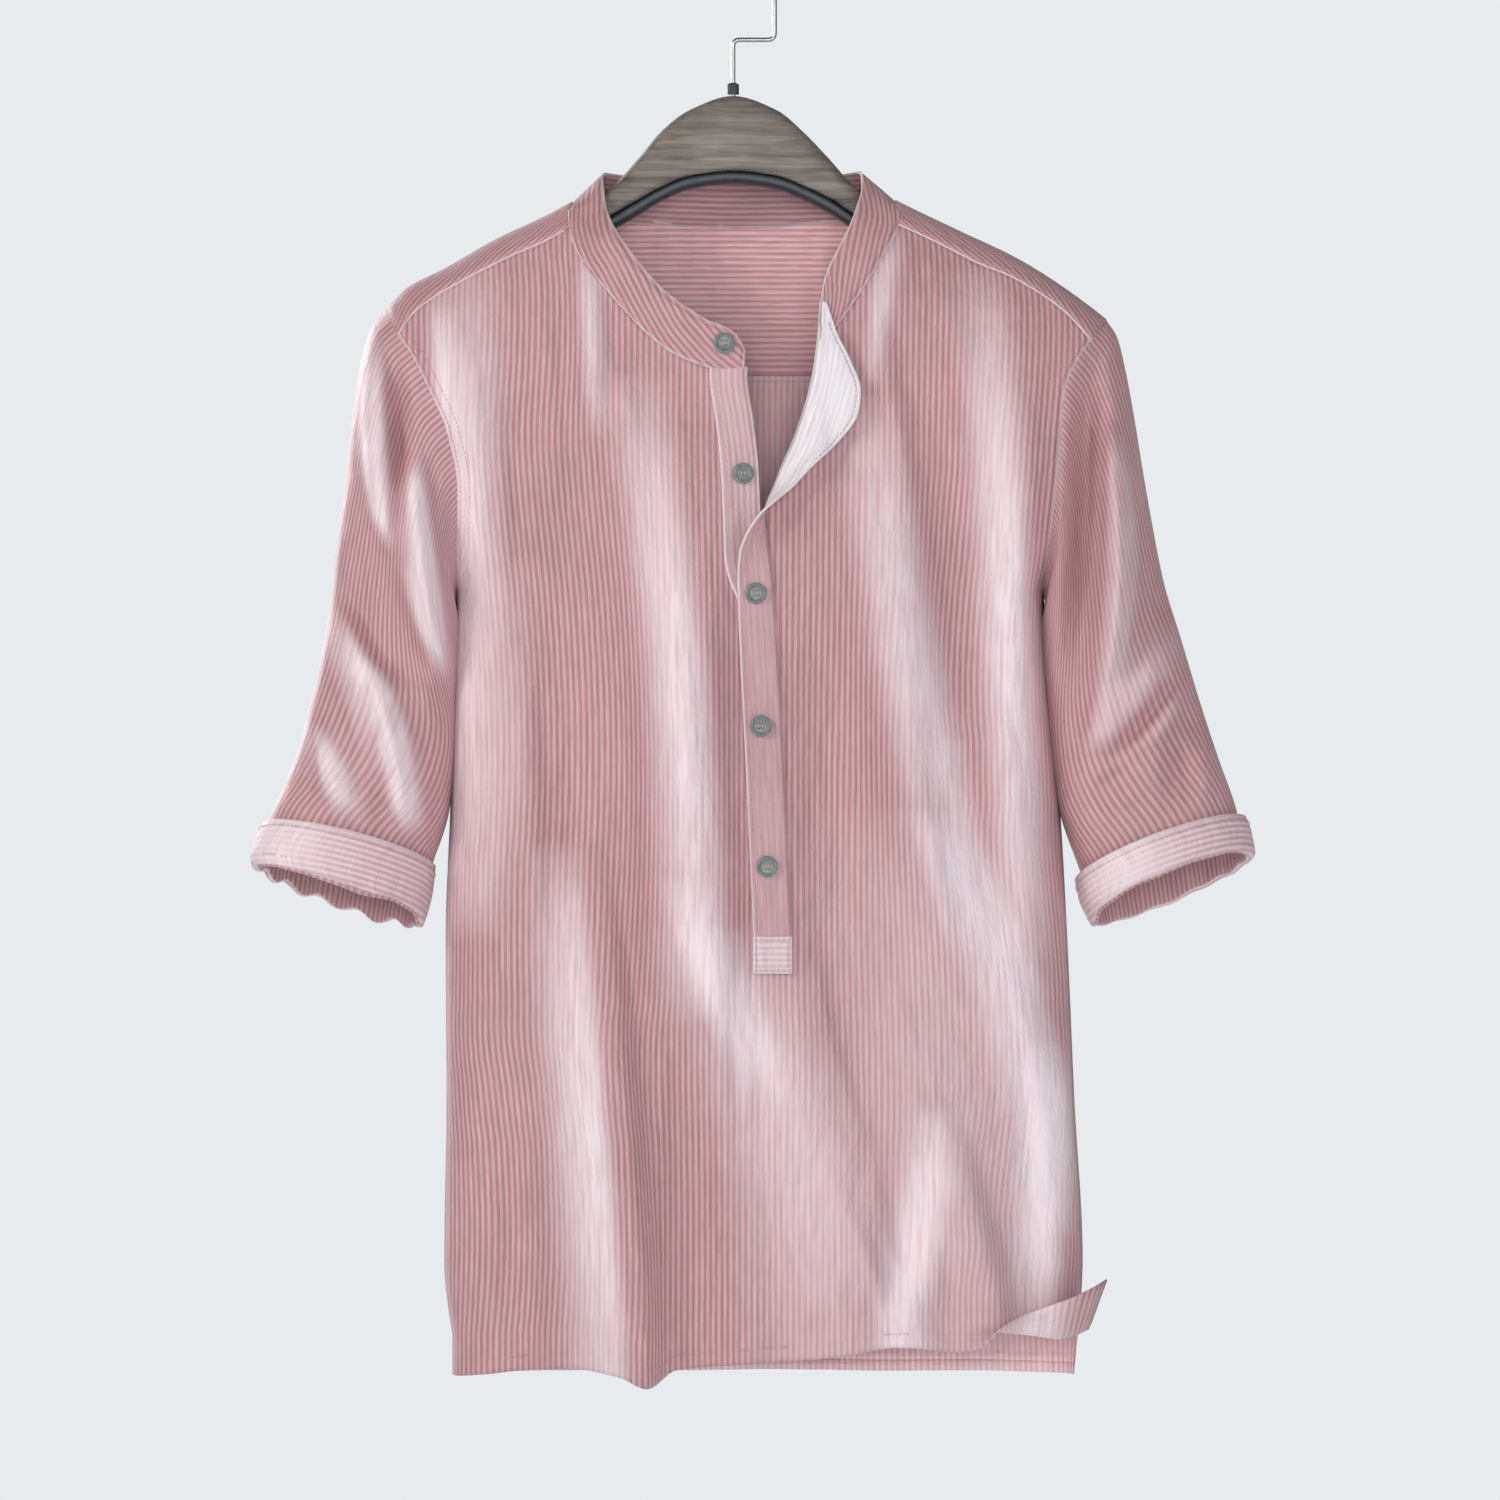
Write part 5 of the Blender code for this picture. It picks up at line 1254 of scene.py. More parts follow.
CUFF_RIGHT = [
    Ring(308.6, -528.0, 206.4, -564.0, 39.6, 12), Ring(311.8, -538.0, 210.0, -577.0, 40.2, 12),
    Ring(312.8, -548.0, 215.0, -587.0, 39.6, 12), Ring(311.4, -551.8, 217.4, -590.4, 38.0, 12),
    Ring(309.2, -551.7, 219.2, -590.4, 36.9, 12),
]
SLEEVE_LEFT_FOLDS = [
    Fold(-212, -230, -212, -290, -204, -370, 15, 13, 6.0),
    Fold(-200, -240, -200, -290, -198, -330, 10, 12, -4.5),
    Fold(-192, -310, -186, -370, -174, -450, 18, 11, 7.0),
    Fold(-226, -360, -212, -410, -190, -450, 22, 22, -6.0),
    Fold(-240, -400, -214, -460, -198, -540, 24, 18, 7.0),
    Fold(-250, -470, -236, -510, -226, -560, 16, 20, 5.0),
]
SLEEVE_RIGHT_FOLDS = [
    Fold(212, -240, 212, -330, 206, -440, 17, 16, -6.5),
    Fold(224, -290, 230, -360, 214, -470, 18, 16, 7.0),
    Fold(266, -400, 244, -450, 206, -490, 26, 22, 6.0),
    Fold(282, -440, 272, -490, 262, -560, 18, 16, -5.0),
]
SLEEVE_LEFT_CREASES = [
    Fold(-221, -236, -219, -300, -206, -372, 6, 9, 3.6),
    Fold(-206, -240, -203, -300, -196, -380, 9, 9, -3.4),
    Fold(-192, -300, -188, -370, -168, -446, 5, 16, 3.6),
    Fold(-214, -350, -200, -400, -176, -450, 12, 9, -3.2),
    Fold(-240, -370, -222, -410, -206, -440, 12, 10, -2.4),
    Fold(-220, -432, -207, -470, -196, -556, 5, 20, 4.2),
    Fold(-226, -440, -214, -480, -210, -560, 12, 6, -3.4),
    Fold(-248, -470, -240, -510, -226, -556, 6, 12, 3.4),
    Fold(-258, -500, -252, -530, -244, -560, 12, 7, -3.2),
    Fold(-264, -440, -258, -480, -262, -530, 9, 9, 1.6),
]
SLEEVE_RIGHT_CREASES = [
    Fold(208, -236, 214, -340, 200, -500, 20, 16, -6.0),
    Fold(221, -290, 230, -380, 208, -500, 7, 20, 4.5),
    Fold(248, -300, 258, -380, 262, -460, 20, 18, -2.0),
    Fold(282, -428, 262, -462, 218, -506, 12, 13, 4.0),
    Fold(262, -440, 240, -480, 214, -540, 14, 16, -3.4),
    Fold(268, -470, 282, -510, 270, -556, 7, 14, 3.4),
    Fold(286, -470, 296, -510, 298, -550, 8, 9, 2.0),
    Fold(224, -505, 236, -535, 244, -566, 10, 9, 2.6),
]

# %% Sleeves
SLEEVE_SIDES = 120
SLEEVE_RINGS = 12        # rings between two rows of the table
SLEEVE_BLEND = 4         # rows over which the armhole's shape gives way to the sleeve's
SLEEVE_ROUND = 0.9       # power of a ring's curve over its front and back
SLEEVE_GAIN = 1.7        # how much deeper the cloth folds than the solid
BACK_GAIN = 0.6          # the same for the back of the sleeve, which folds softly
SLEEVE_CREST = 9.0       # mm: a crest as high as this gets the palest painted highlight
RIGHT_SLEEVE_SHADE_SHARE = 0.45      # painted shade: the right sleeve, in shade, gets this share of the painted highlight
OUTER_SIDE_HIGHLIGHT = 0.45      # painted highlight on the left sleeve's outer side, where the key light falls
INSIDE = (3.0, 1.2)      # mm: where two more rings lie inside the armhole
INSIDE_NARROWER = 1.2 / 38    # share by which they are narrower than it
SHOWS_BELOW = 2.6        # mm of the rolled sleeve that shows below the cuff in front
ROLL = 0.9               # mm: radius of the roll at the sleeve's end
INNER_REACH = 4.5        # mm that the sleeve lies under the body's side
GRAIN_TILT = 8.0         # degrees that the grain leans on a hanging sleeve
ROLL_UP = 3.0            # mm that the rolled sleeve runs up under the cuff
CRINKLE = 1.4            # mm that the back of the sleeve's end crumples inward
SCALLOPS = 13            # crumples round the sleeve's end
CUFF_RINGS = 5           # rings between two rows of a cuff's table
CUFF_CRUMPLE = 0.7       # mm
CUFF_THICK = 1.3         # mm

# How far a cuff's foot is raised off its ring, in mm: in front, behind, at the
# inner end, and by scallops behind.
Drape = namedtuple("Drape", "front back rise scallop")
DRAPE_LEFT = Drape(0.0, 1.0, 5.0, 2.4)
DRAPE_RIGHT = Drape(4.0, 5.0, 3.0, 0.7)


def ring_columns(rings, at):
    """The columns of a table of rings, read between its rows."""
    knots = np.arange(len(rings), dtype=float)
    return Ring(*(curve_through(knots, [getattr(ring, column) for ring in rings])(at)[:, None]
                  for column in Ring._fields))


def cuff_drape(rings, turn):
    """How far the cuff's foot is raised off its ring, all round."""
    drape = DRAPE_LEFT if rings[0].outer_x < 0 else DRAPE_RIGHT
    wide = np.sin(turn)
    scallops = drape.scallop * (1 + np.cos(SCALLOPS * turn + 2 * wide)) * smooth_step(-wide * 2)
    near_end = smooth_step((np.abs(turn) - 1.75) / 0.7) * smooth_step((3.08 - turn) / 0.25)
    uneven = noise_at(turn * 9, 0 * turn, 4.0, 4.0, math.copysign(5.0, rings[0].outer_x))
    return (drape.front * np.maximum(wide, 0) + drape.back * np.maximum(-wide, 0)
            + drape.rise * near_end * (turn > 0) + 1.1 * uneven + scallops)


def ring_points(ring, turn):
    """Points of sleeve rings: turn is 0 at the outer end and pi at the inner."""
    share = (1 - np.cos(turn)) / 2
    wide = np.sin(turn)
    x = blend(ring.outer_x, ring.inner_x, share)
    z = blend(ring.outer_z, ring.inner_z, share) + ring.drop * wide
    y = -ring.depth * np.sign(wide) * np.abs(wide) ** SLEEVE_ROUND
    return np.stack((x, y + 0 * x, z), axis=-1)


def armhole_points(edge, top_z, turn):
    """Points of the armhole, turned as a sleeve ring is."""
    z = blend(top_z, UNDERARM, (1 - np.cos(turn)) / 2)
    x = edge(z)
    front, back = depth_at(FRONT, x, z), depth_at(BACK, x, z)
    y = np.where(np.sin(turn) > 0, -front, back)
    y = np.where(np.abs(np.sin(turn)) < 0.02, 0.0, y)
    return np.stack((x, y, z), axis=-1)


def plain_sleeve(rings, edge, at, turn):
    """A sleeve's rings without folds. They start as the armhole's shape."""
    ring = ring_columns(rings, at)
    towards_body = -math.copysign(INNER_REACH, rings[0].outer_x)
    near = (smooth_step((at - 0.5) / 2) * smooth_step((len(rings) - 1.6 - at) / 2))[:, None]
    own = ring_points(ring._replace(inner_x=ring.inner_x + towards_body * near),
                      turn[None, :])
    start = armhole_points(edge, rings[0].outer_z, turn)
    carried = start[None] + own - own[:1]
    return blend(carried, own, smooth_step(at / SLEEVE_BLEND)[:, None, None])


def turned_end(folded):
    """The roll at the sleeve's end, and what runs up under the cuff."""
    spoke = unit(folded[-1] - folded[-1].mean(axis=0))
    down = unit(folded[-1] - folded[-4])
    bend = np.linspace(0, math.pi, 9)[1:, None, None]
    roll = folded[-1] + spoke * ROLL * (1 - np.cos(bend)) + down * ROLL * np.sin(bend)
    rise = np.linspace(0, ROLL_UP, 5)[1:, None, None]
    return np.concatenate((roll, roll[-1][None] - down[None] * rise))


def build_sleeve(name, rings, edge, folds):
    """A sleeve, from just inside the armhole to the roll at its end."""
    turn = np.linspace(-math.pi, math.pi, SLEEVE_SIDES + 1)
    at = np.linspace(0, len(rings) - 1, (len(rings) - 1) * SLEEVE_RINGS + 1)
    away = math.copysign(1.0, rings[0].outer_x)
    plain = plain_sleeve(rings, edge, at, turn)
    x, z = plain[..., 0], plain[..., 2]
    front_share = np.maximum(np.sin(turn), 0)[None, :] ** 0.5
    back_share = np.maximum(-np.sin(turn), 0)[None, :] ** 0.5
    fade = (smooth_step(at / 1.6) * smooth_step((len(rings) - 1.9 - at) / 1.4))[:, None]
    lift = SLEEVE_GAIN * folds_at(folds, x, z)
    ripple = ripples_at(x, z, seed=rings[0].outer_x)
    folded = plain.copy()
    folded[..., 1] -= (lift + ripple) * front_share * fade
    folded[..., 1] += (BACK_GAIN * folds_at(folds, x + 8, z + 14) + ripple) * back_share * fade
    crinkle = CRINKLE * (1 + np.sin(SCALLOPS * turn))[None, :] * back_share
    folded[..., 1] -= crinkle * smooth_step((at - len(rings) + 3.2) / 1.6)[:, None]
    end = smooth_step((at - len(rings) + 2.6) / 1.4)[:, None]
    folded[..., 2] += (cuff_drape(rings, turn) - SHOWS_BELOW * front_share[0]) * end
    tucked = np.repeat(folded[:1], len(INSIDE), axis=0)
    tucked[..., 0] -= away * np.array(INSIDE)[:, None]
    tucked[..., 1] *= 1 - INSIDE_NARROWER
    added = turned_end(folded)
    points = np.concatenate((tucked, folded, added))

    girth = np.pad(along_columns(plain), ((len(tucked), len(added)), (0, 0)), mode="edge")
    girth = girth - girth[:, SLEEVE_SIDES // 2][:, None]
    length = along_rows(plain)
    beyond = length[-1:] + along_rows(points[-len(added) - 1:])[1:]
    length = np.concatenate([length[:1] - inside for inside in INSIDE] + [length, beyond])
    tilt = math.radians(GRAIN_TILT)
    grain = np.stack((girth * math.cos(tilt) + length * math.sin(tilt),
                      girth * math.sin(tilt) - length * math.cos(tilt)), axis=-1)
    # Painted highlight on the crests of the sleeve's front and along the left sleeve's outer side;
    # the shaded right sleeve gets less of it, as painted shade.
    highlight_and_wear = np.zeros(points.shape[:2])
    shown = slice(len(tucked), len(tucked) + len(at))
    crests = np.clip(lift / SLEEVE_CREST, 0.0, 1.0) ** 1.6
    highlight_and_wear[shown] = crests * front_share * fade * HIGHLIGHT_AND_WEAR_STRENGTH
    highlight_and_wear *= RIGHT_SLEEVE_SHADE_SHARE if away > 0 else 1.0
    highlight_and_wear[shown] += OUTER_SIDE_HIGHLIGHT * (np.cos(turn)[None, :] > 0.93) * (away < 0)
    return add_panel(name, points[:, :-1], grain, NO_SEAM, striped_cotton, wrap=True,
                     flip=away < 0, highlight_and_wear=highlight_and_wear[:, :-1])


def build_cuff(name, rings):
    """The cuff's outer layer, whose stripes run round it."""
    turn = np.linspace(-math.pi, math.pi, SLEEVE_SIDES + 1)
    at = np.linspace(0, len(rings) - 1, (len(rings) - 1) * CUFF_RINGS + 1)
    points = ring_points(ring_columns(rings, at), turn[None, :])
    spoke = unit(points - points.mean(axis=1, keepdims=True))
    hump = np.sin(np.pi * at / at[-1])[:, None]
    uneven = noise_at(turn * 30, at[:, None] * 8, 12.0, 9.0, rings[0].outer_x)
    ridges = (1 - np.abs(noise_at(turn * 40, at[:, None] * 4, 9.0, 40.0, 2.5))) ** 9
    crumpled = CUFF_CRUMPLE * (1 + uneven) + CUFF_CRUMPLE * ridges
    points = points + spoke * (crumpled * hump)[..., None]
    points[..., 2] += cuff_drape(rings, turn) * smooth_step(at / at[-1])[:, None]
    down = along_rows(points)
    grain = np.stack((along_columns(points), down), axis=-1)
    edge = np.minimum(down, down[-1:] - down)
    # The cuff is paled most on the side that faces the key light, a painted highlight, and a
    # little everywhere.
    palest = 0.8 if rings[0].outer_x < 0 else 2.2
    highlight_and_wear = 0.15 + 0.65 * np.exp(-((turn - palest) / 0.6) ** 2) + 0 * down
    return add_panel(name, points[:, :-1], grain, edge[:, :-1], cuff_cotton, wrap=True,
                     thick=CUFF_THICK, flip=rings[0].outer_x < 0, highlight_and_wear=highlight_and_wear[:, :-1])


sleeve_left_panel = build_sleeve("sleeve_left_panel", SLEEVE_LEFT, left_edge,
                                 SLEEVE_LEFT_FOLDS + SLEEVE_LEFT_CREASES)
sleeve_right_panel = build_sleeve("sleeve_right_panel", SLEEVE_RIGHT, right_edge,
                                  SLEEVE_RIGHT_FOLDS + SLEEVE_RIGHT_CREASES)
cuff_left_panel = build_cuff("cuff_left_panel", CUFF_LEFT)
cuff_right_panel = build_cuff("cuff_right_panel", CUFF_RIGHT)
print("sleeves:", [round(area_of(o), 3) for o in (sleeve_left_panel, sleeve_right_panel)])

# %% [markdown]
# ## Stitches
#
# A sewing machine leaves a row of short threads about 3 mm apart. Each row is a
# path of points that lies on the cloth. Geometry Nodes turn the path into a
# curve, put a point at every stitch, and place a short thread there, turned
# along the path. The tree ends in Realize Instances and Set Material, and its
# result is kept as a plain mesh.

# %% Sewing thread
# Thread, a shade paler than the cloth and round: each stitch catches the light.
thread, thread_tree, thread_shader = new_material("polyester_thread", "#caa6ab", 0.6,
                                                  specular=0.4)
twist = add_node(thread_tree, "ShaderNodeTexWave", {"bands_direction": "DIAGONAL"},
                 Vector=add_node(thread_tree, "ShaderNodeTexCoord").outputs["Object"],
                 Scale=per_metre(0.5) / 20)
add_bump(thread_tree, thread_shader, twist.outputs["Fac"], 0.4, 0.1)
print("thread:", thread.name)

# %% Stitch tree
STITCH_PITCH = 3.0 * MM
STITCH_SHOWS = 0.68      # share of the pitch where the thread is on top
THREAD_RADIUS = 0.24 * MM


def stitch_tree():
    """Geometry nodes that sew a row of stitches along the edges of a mesh."""
    tree = bpy.data.node_groups.new("sew_stitches", "GeometryNodeTree")
    tree.interface.new_socket("Path", in_out="INPUT", socket_type="NodeSocketGeometry")
    for name, value in (("Stitch Pitch", STITCH_PITCH), ("Stitch Shows", STITCH_SHOWS),
                        ("Thread Radius", THREAD_RADIUS)):
        socket = tree.interface.new_socket(name, in_out="INPUT", socket_type="NodeSocketFloat")
        socket.default_value = value
    socket = tree.interface.new_socket("Seed", in_out="INPUT", socket_type="NodeSocketInt")
    socket.default_value = 4
    tree.interface.new_socket("Stitches", in_out="OUTPUT", socket_type="NodeSocketGeometry")
    given = add_node(tree, "NodeGroupInput")
    curve = add_node(tree, "GeometryNodeMeshToCurve", Mesh=given.outputs["Path"])
    rows = add_node(tree, "GeometryNodeResampleCurve", {"mode": "LENGTH"},
                    Curve=curve.outputs[0], Length=given.outputs["Stitch Pitch"])
    along = add_node(tree, "GeometryNodeInputTangent")
    turn = add_node(tree, "FunctionNodeAlignRotationToVector", {"axis": "Z"},
                    Vector=along.outputs[0])
    long = maths(tree, "MULTIPLY", given.outputs["Stitch Pitch"],
                 given.outputs["Stitch Shows"])
    stitch = add_node(tree, "GeometryNodeMeshCylinder", Vertices=5,
                      Radius=given.outputs["Thread Radius"], Depth=long)
    uneven = add_node(tree, "FunctionNodeRandomValue", {"data_type": "FLOAT"}, in2=0.85,
                      in3=1.15, Seed=given.outputs["Seed"])
    sewn = add_node(tree, "GeometryNodeInstanceOnPoints", Points=rows.outputs[0],
                    Instance=stitch.outputs["Mesh"], Rotation=turn.outputs[0],
                    Scale=uneven.outputs[1])
    real = add_node(tree, "GeometryNodeRealizeInstances", Geometry=sewn.outputs[0])
    done = add_node(tree, "GeometryNodeSetMaterial", Geometry=real.outputs[0], Material=thread)
    result = add_node(tree, "NodeGroupOutput")
    tree.links.new(done.outputs[0], result.inputs[0])
    return tree


def sew(name, rows, tree):
    """Stitches along rows of points, in mm, as one plain mesh."""
    bm = bmesh.new()
    for row in rows:
        verts = [bm.verts.new(Vector(point) * MM) for point in row]
        for first, second in zip(verts, verts[1:]):
            bm.edges.new((first, second))
    path = add_piece(name + "_path", mesh_of(bm, name + "_path"))
    path.modifiers.new("sewing", "NODES").node_group = tree
    sewn = plain_mesh(path, name)
    bpy.data.objects.remove(path)
    return add_piece(name, sewn)


# %% [markdown]
# The rows of stitches are read from the same functions as the panels, moved out
# by half the cloth, so that the thread lies on it. The armholes and the back seam
# of the yoke have two rows. The placket's strips, the collar band and the cuffs
# have one along each edge, and the neck, the yoke's front and the hems have one.

# %% Rows of stitches
ON_CLOTH = CLOTH_THICK / 2 + 0.1     # mm from a panel's middle to the thread on it
ON_STRIP = 0.7                       # mm: the same for the under strip and the square
ON_OVER = 0.85                       # mm: the same for the over strip
HEM_STITCH = 8.5                     # mm from the foot of a hem to its stitches


def seam_row(seam, below, out):
    """A row of stitches along a seam of the front, below it by so many mm."""
    x = np.linspace(seam[0].x, seam[-1].x, 60)
    return skin(FRONT, x, curve_of(seam, "x", "z")(x) - below, out)


def body_rows():
    """Rows at the yoke, the neck, the armholes and the two hems."""
    rows = [seam_row(YOKE_SEAM_LEFT, -1.2, LAP + ON_CLOTH),
            seam_row(YOKE_SEAM_RIGHT, -1.2, LAP + ON_CLOTH),
            seam_row(NECK_SEAM_LEFT, 2.0, ON_CLOTH), seam_row(NECK_SEAM_RIGHT, 2.0, ON_CLOTH)]
    x = np.linspace(-184, 198, 160)
    for up in (1.6, 7.5):
        rows.append(skin(BACK, x, BACK_YOKE_SEAM + up, LAP + ON_CLOTH))
    for inset in (2.0, 7.5):
        for edge, inward, top in ((left_edge, 1, -240.0), (right_edge, -1, -244.0)):
            z = np.linspace(top, UNDERARM + 8, 60)
            for side in (FRONT, BACK):
                rows.append(skin(side, edge(z) + inward * inset, z, ON_CLOTH))
    x = np.linspace(-168, 134, 150)
    foot = hem_at["fold"](x) - hem_at["band"](x)
    rows.append(skin(FRONT, x, foot + HEM_STITCH, ON_CLOTH))
    x = np.linspace(-162, 202, 170)
    rows.append(skin(BACK, x, np.full(x.shape, BACK_HEM + HEM_STITCH), ON_CLOTH))
    return rows


def placket_stitches():
    """Rows along both strips, along the turned-back edge and round the square."""
    rows = []
    for inset in (2.0, 18.5):
        z = np.linspace(UNDER_TOP - 3, -596, 120)
        z = z[slit_left(z) + inset < slit_right(z) - 4]
        rows.append(skin(FRONT, slit_left(z) + inset, z, UNDER_OUT + ON_STRIP))
    z = np.linspace(-594, -392, 90)
    root = over_at(z)[0]
    for inset in (2.0, 20.8):
        rows.append(skin(FRONT, root - inset, z, LAID_ON + ON_OVER))
    z = np.linspace(-312, -232, 60)
    root, width, turn = over_at(z)
    reach = np.maximum(width - 3.0, 0.5)
    rows.append(skin(FRONT, root + reach * np.cos(turn), z,
                     LAID_ON + reach * np.sin(turn) + 1.0))
    x0, x1, z0, z1 = BOX_LEFT + 1.8, BOX_RIGHT - 1.8, BOX_TOP - 1.8, BOX_FOOT + 1.8
    corners = [(x0, z0), (x1, z0), (x1, z1), (x0, z1), (x0, z0)]
    for (xa, za), (xb, zb) in zip(corners, corners[1:]):
        rows.append(skin(FRONT, np.linspace(xa, xb, 12), np.linspace(za, zb, 12),
                         LAID_ON + BOX_ON + ON_STRIP))
    return rows


def band_stitches():
    """Rows along the foot and the top of the collar band."""
    seam, top = band_edges()
    rows = []
    for share in (0.09, 0.92):
        row = blend(seam, top, share)
        away = row - row.mean(axis=0)
        away[:, 2] = 0
        rows.append(row + unit(away) * (BAND_THICK / 2 + 0.2))
    return rows


def cuff_stitches():
    """Two rows round each cuff."""
    rows = []
    turn = np.linspace(-math.pi, math.pi, 160)
    for rings in (CUFF_LEFT, CUFF_RIGHT):
        for at in (0.35, 1.9):
            ring = ring_points(ring_columns(rings, np.array([at])), turn[None, :])[0]
            middle = ring.mean(axis=0)
            row = middle + (ring - middle) * (1 + 1.0 / 40)
            row[:, 2] += cuff_drape(rings, turn) * smooth_step(at / (len(rings) - 1))
            rows.append(row)
    return rows


tree = stitch_tree()
body_stitching = sew("body_stitching", body_rows(), tree)
placket_stitching = sew("placket_stitching", placket_stitches(), tree)
band_stitching = sew("band_stitching", band_stitches(), tree)
cuff_stitching = sew("cuff_stitching", cuff_stitches(), tree)
print("stitches:", sum(len(o.data.polygons) for o in (body_stitching, placket_stitching,
                                                      band_stitching, cuff_stitching)) // 7)

# %% [markdown]
# ## Buttons
#
# The buttons are four-hole shirt buttons of a grey-green resin made to look like
# horn: faintly cloudy, with a satin gloss and a raised rim. A profile is turned
# by the Screw modifier, and four pegs drill the holes. Two threads cross each
# button.

# %% Button resin
# Resin: a cool grey-green that stands out from the rose, with a satin gloss.
resin, resin_tree, resin_shader = new_material("horn_look_polyester_resin", "#74837c", 0.34)
cloud = solid_noise(resin_tree, (5.0, 5.0, 5.0), 3.0, distortion=0.6)
resin_tone = mixed(resin_tree, cloud, linear("#566160"), linear("#949e9a"))
resin_tree.links.new(resin_tone, resin_shader.inputs["Base Color"])
print("resin:", resin.name)

# %% Buttons
BUTTON_ACROSS = 12.7     # mm: the usual 20 ligne shirt button
BUTTON_THICK = 2.8
BUTTON_HOLE = 0.95       # mm: radius of a hole
BUTTON_HOLE_OUT = 1.75   # mm from the button's middle to a hole's
BUTTON_THREAD = 0.38     # mm: radius of the thread across it
Button = namedtuple("Button", "x z on")
BUTTONS = [
    Button(-5.2, -243.5, "band"), Button(5.6, -321.0, "under"), Button(13.8, -392.4, "over"),
    Button(16.6, -471.6, "over"), Button(20.4, -555.6, "over"),
]
BUTTON_LIFT = {"band": 2.6, "under": 1.5, "over": 3.2}    # mm off the front's skin
Turned = namedtuple("Turned", "radius height")
BUTTON_PROFILE = [       # shares of the radius and of the thickness, from the top's middle
    Turned(0.00, 0.60), Turned(0.50, 0.58), Turned(0.64, 0.64), Turned(0.72, 0.90),
    Turned(0.80, 1.00), Turned(0.90, 0.96), Turned(0.98, 0.78), Turned(1.00, 0.60),
    Turned(0.94, 0.25), Turned(0.82, 0.04), Turned(0.70, 0.00), Turned(0.00, 0.00),
]


def button_mesh():
    """A turned button with four drilled holes, flat at the origin."""
    bm = bmesh.new()
    verts = [bm.verts.new((row.radius * BUTTON_ACROSS / 2 * MM, 0,
                           row.height * BUTTON_THICK * MM)) for row in BUTTON_PROFILE]
    for first, second in zip(verts, verts[1:]):
        bm.edges.new((first, second))
    blank = add_piece("button_blank", mesh_of(bm, "button_profile"))
    turned = blank.modifiers.new("turned", "SCREW")
    turned.steps = turned.render_steps = 48
    turned.use_merge_vertices = True
    turned.merge_threshold = 0.00001
    turned.use_normal_calculate = True
    pegs = bmesh.new()
    for quarter in range(4):
        angle = math.pi / 4 + quarter * math.pi / 2
        place = Vector((math.cos(angle), math.sin(angle), 0)) * BUTTON_HOLE_OUT * MM
        bmesh.ops.create_cone(pegs, cap_ends=True, segments=14, radius1=BUTTON_HOLE * MM,
                              radius2=BUTTON_HOLE * MM, depth=4 * BUTTON_THICK * MM,
                              matrix=Matrix.Translation(place))
    drill = add_piece("button_pegs", mesh_of(pegs, "button_pegs"))
    holes = blank.modifiers.new("holes", "BOOLEAN")
    holes.operation = "DIFFERENCE"
    holes.object = drill
    made = plain_mesh(blank, "button")
    for helper in (blank, drill):
        bpy.data.objects.remove(helper)
    return made


def front_facing(x, z):
    """Which way the front's large form faces at a place."""
    step = 2.0
    a, b, c, d = (np.array((px, -depth_at(FRONT, px, pz, fine=False), pz))
                  for px, pz in ((x + step, z), (x - step, z), (x, z + step), (x, z - step)))
    return Vector(np.cross(a - b, c - d)).normalized()


def button_turn(button):
    """Where a button is and how it is turned, as one matrix in metres."""
    facing = front_facing(button.x, button.z)
    depth = float(depth_at(FRONT, button.x, button.z, fine=False))
    place = Vector((button.x, -depth, button.z)) + facing * BUTTON_LIFT[button.on]
    return Matrix.Translation(place * MM) @ facing.to_track_quat("Z", "Y").to_matrix().to_4x4()


blank_mesh = button_mesh()
button_pieces = []
for number, button in enumerate(BUTTONS, start=1):
    mesh = blank_mesh.copy()
    mesh.transform(button_turn(button))
    mesh.shade_smooth()
    mesh.set_sharp_from_angle(angle=math.radians(35))
    button_pieces.append(add_piece(f"shirt_button_{number}", mesh, resin))
print("faces of a button:", len(blank_mesh.polygons))


def button_threads():
    """Two short threads across each button, from hole to hole."""
    rows = []
    for button in BUTTONS:
        turn = button_turn(button)
        out = BUTTON_HOLE_OUT * MM * math.sqrt(0.5)
        for side in (-1, 1):
            ends = [turn @ Vector((side * out, up * out, BUTTON_THICK * 0.62 * MM))
                    for up in (-1.2, -0.4, 0.4, 1.2)]
            rows.append([end / MM for end in ends])
    return rows


def thread_bars(name, rows, radius):
    """Round bars along rows of points, as one plain mesh."""
    curve = bpy.data.curves.new(name, "CURVE")
    curve.dimensions = "3D"
    curve.bevel_depth = radius * MM
    curve.bevel_resolution = 2
    curve.use_fill_caps = True
    for row in rows:
        spline = curve.splines.new("POLY")
        spline.points.add(len(row) - 1)
        for target, point in zip(spline.points, row):
            target.co = (*(Vector(point) * MM), 1)
    holder = add_piece(name, curve)
    mesh = plain_mesh(holder, name)
    bpy.data.objects.remove(holder)
    return mesh


button_thread_mesh = thread_bars("button_thread", button_threads(), BUTTON_THREAD)
button_thread = add_piece("button_thread", button_thread_mesh, thread)
print("faces of the buttons' thread:", len(button_thread_mesh.polygons))

# %% [markdown]
# ## Hanger
#
# The hanger is a contoured one of dark stained wood, sawn from a plank and
# rounded over, so its grain runs from tip to tip. A nearly black strip runs along
# its underside: its colour is painted shade, standing for the shaded underside of
# the wood. A steel wire with a jog goes up from a small ferrule. The sections are
# the same as in the solids, only closer together and rounder.

# %% Hanger materials
GRAIN_LENGTH = 90.0      # mm of a streak of the wood
GRAIN_WIDTH = 4.0

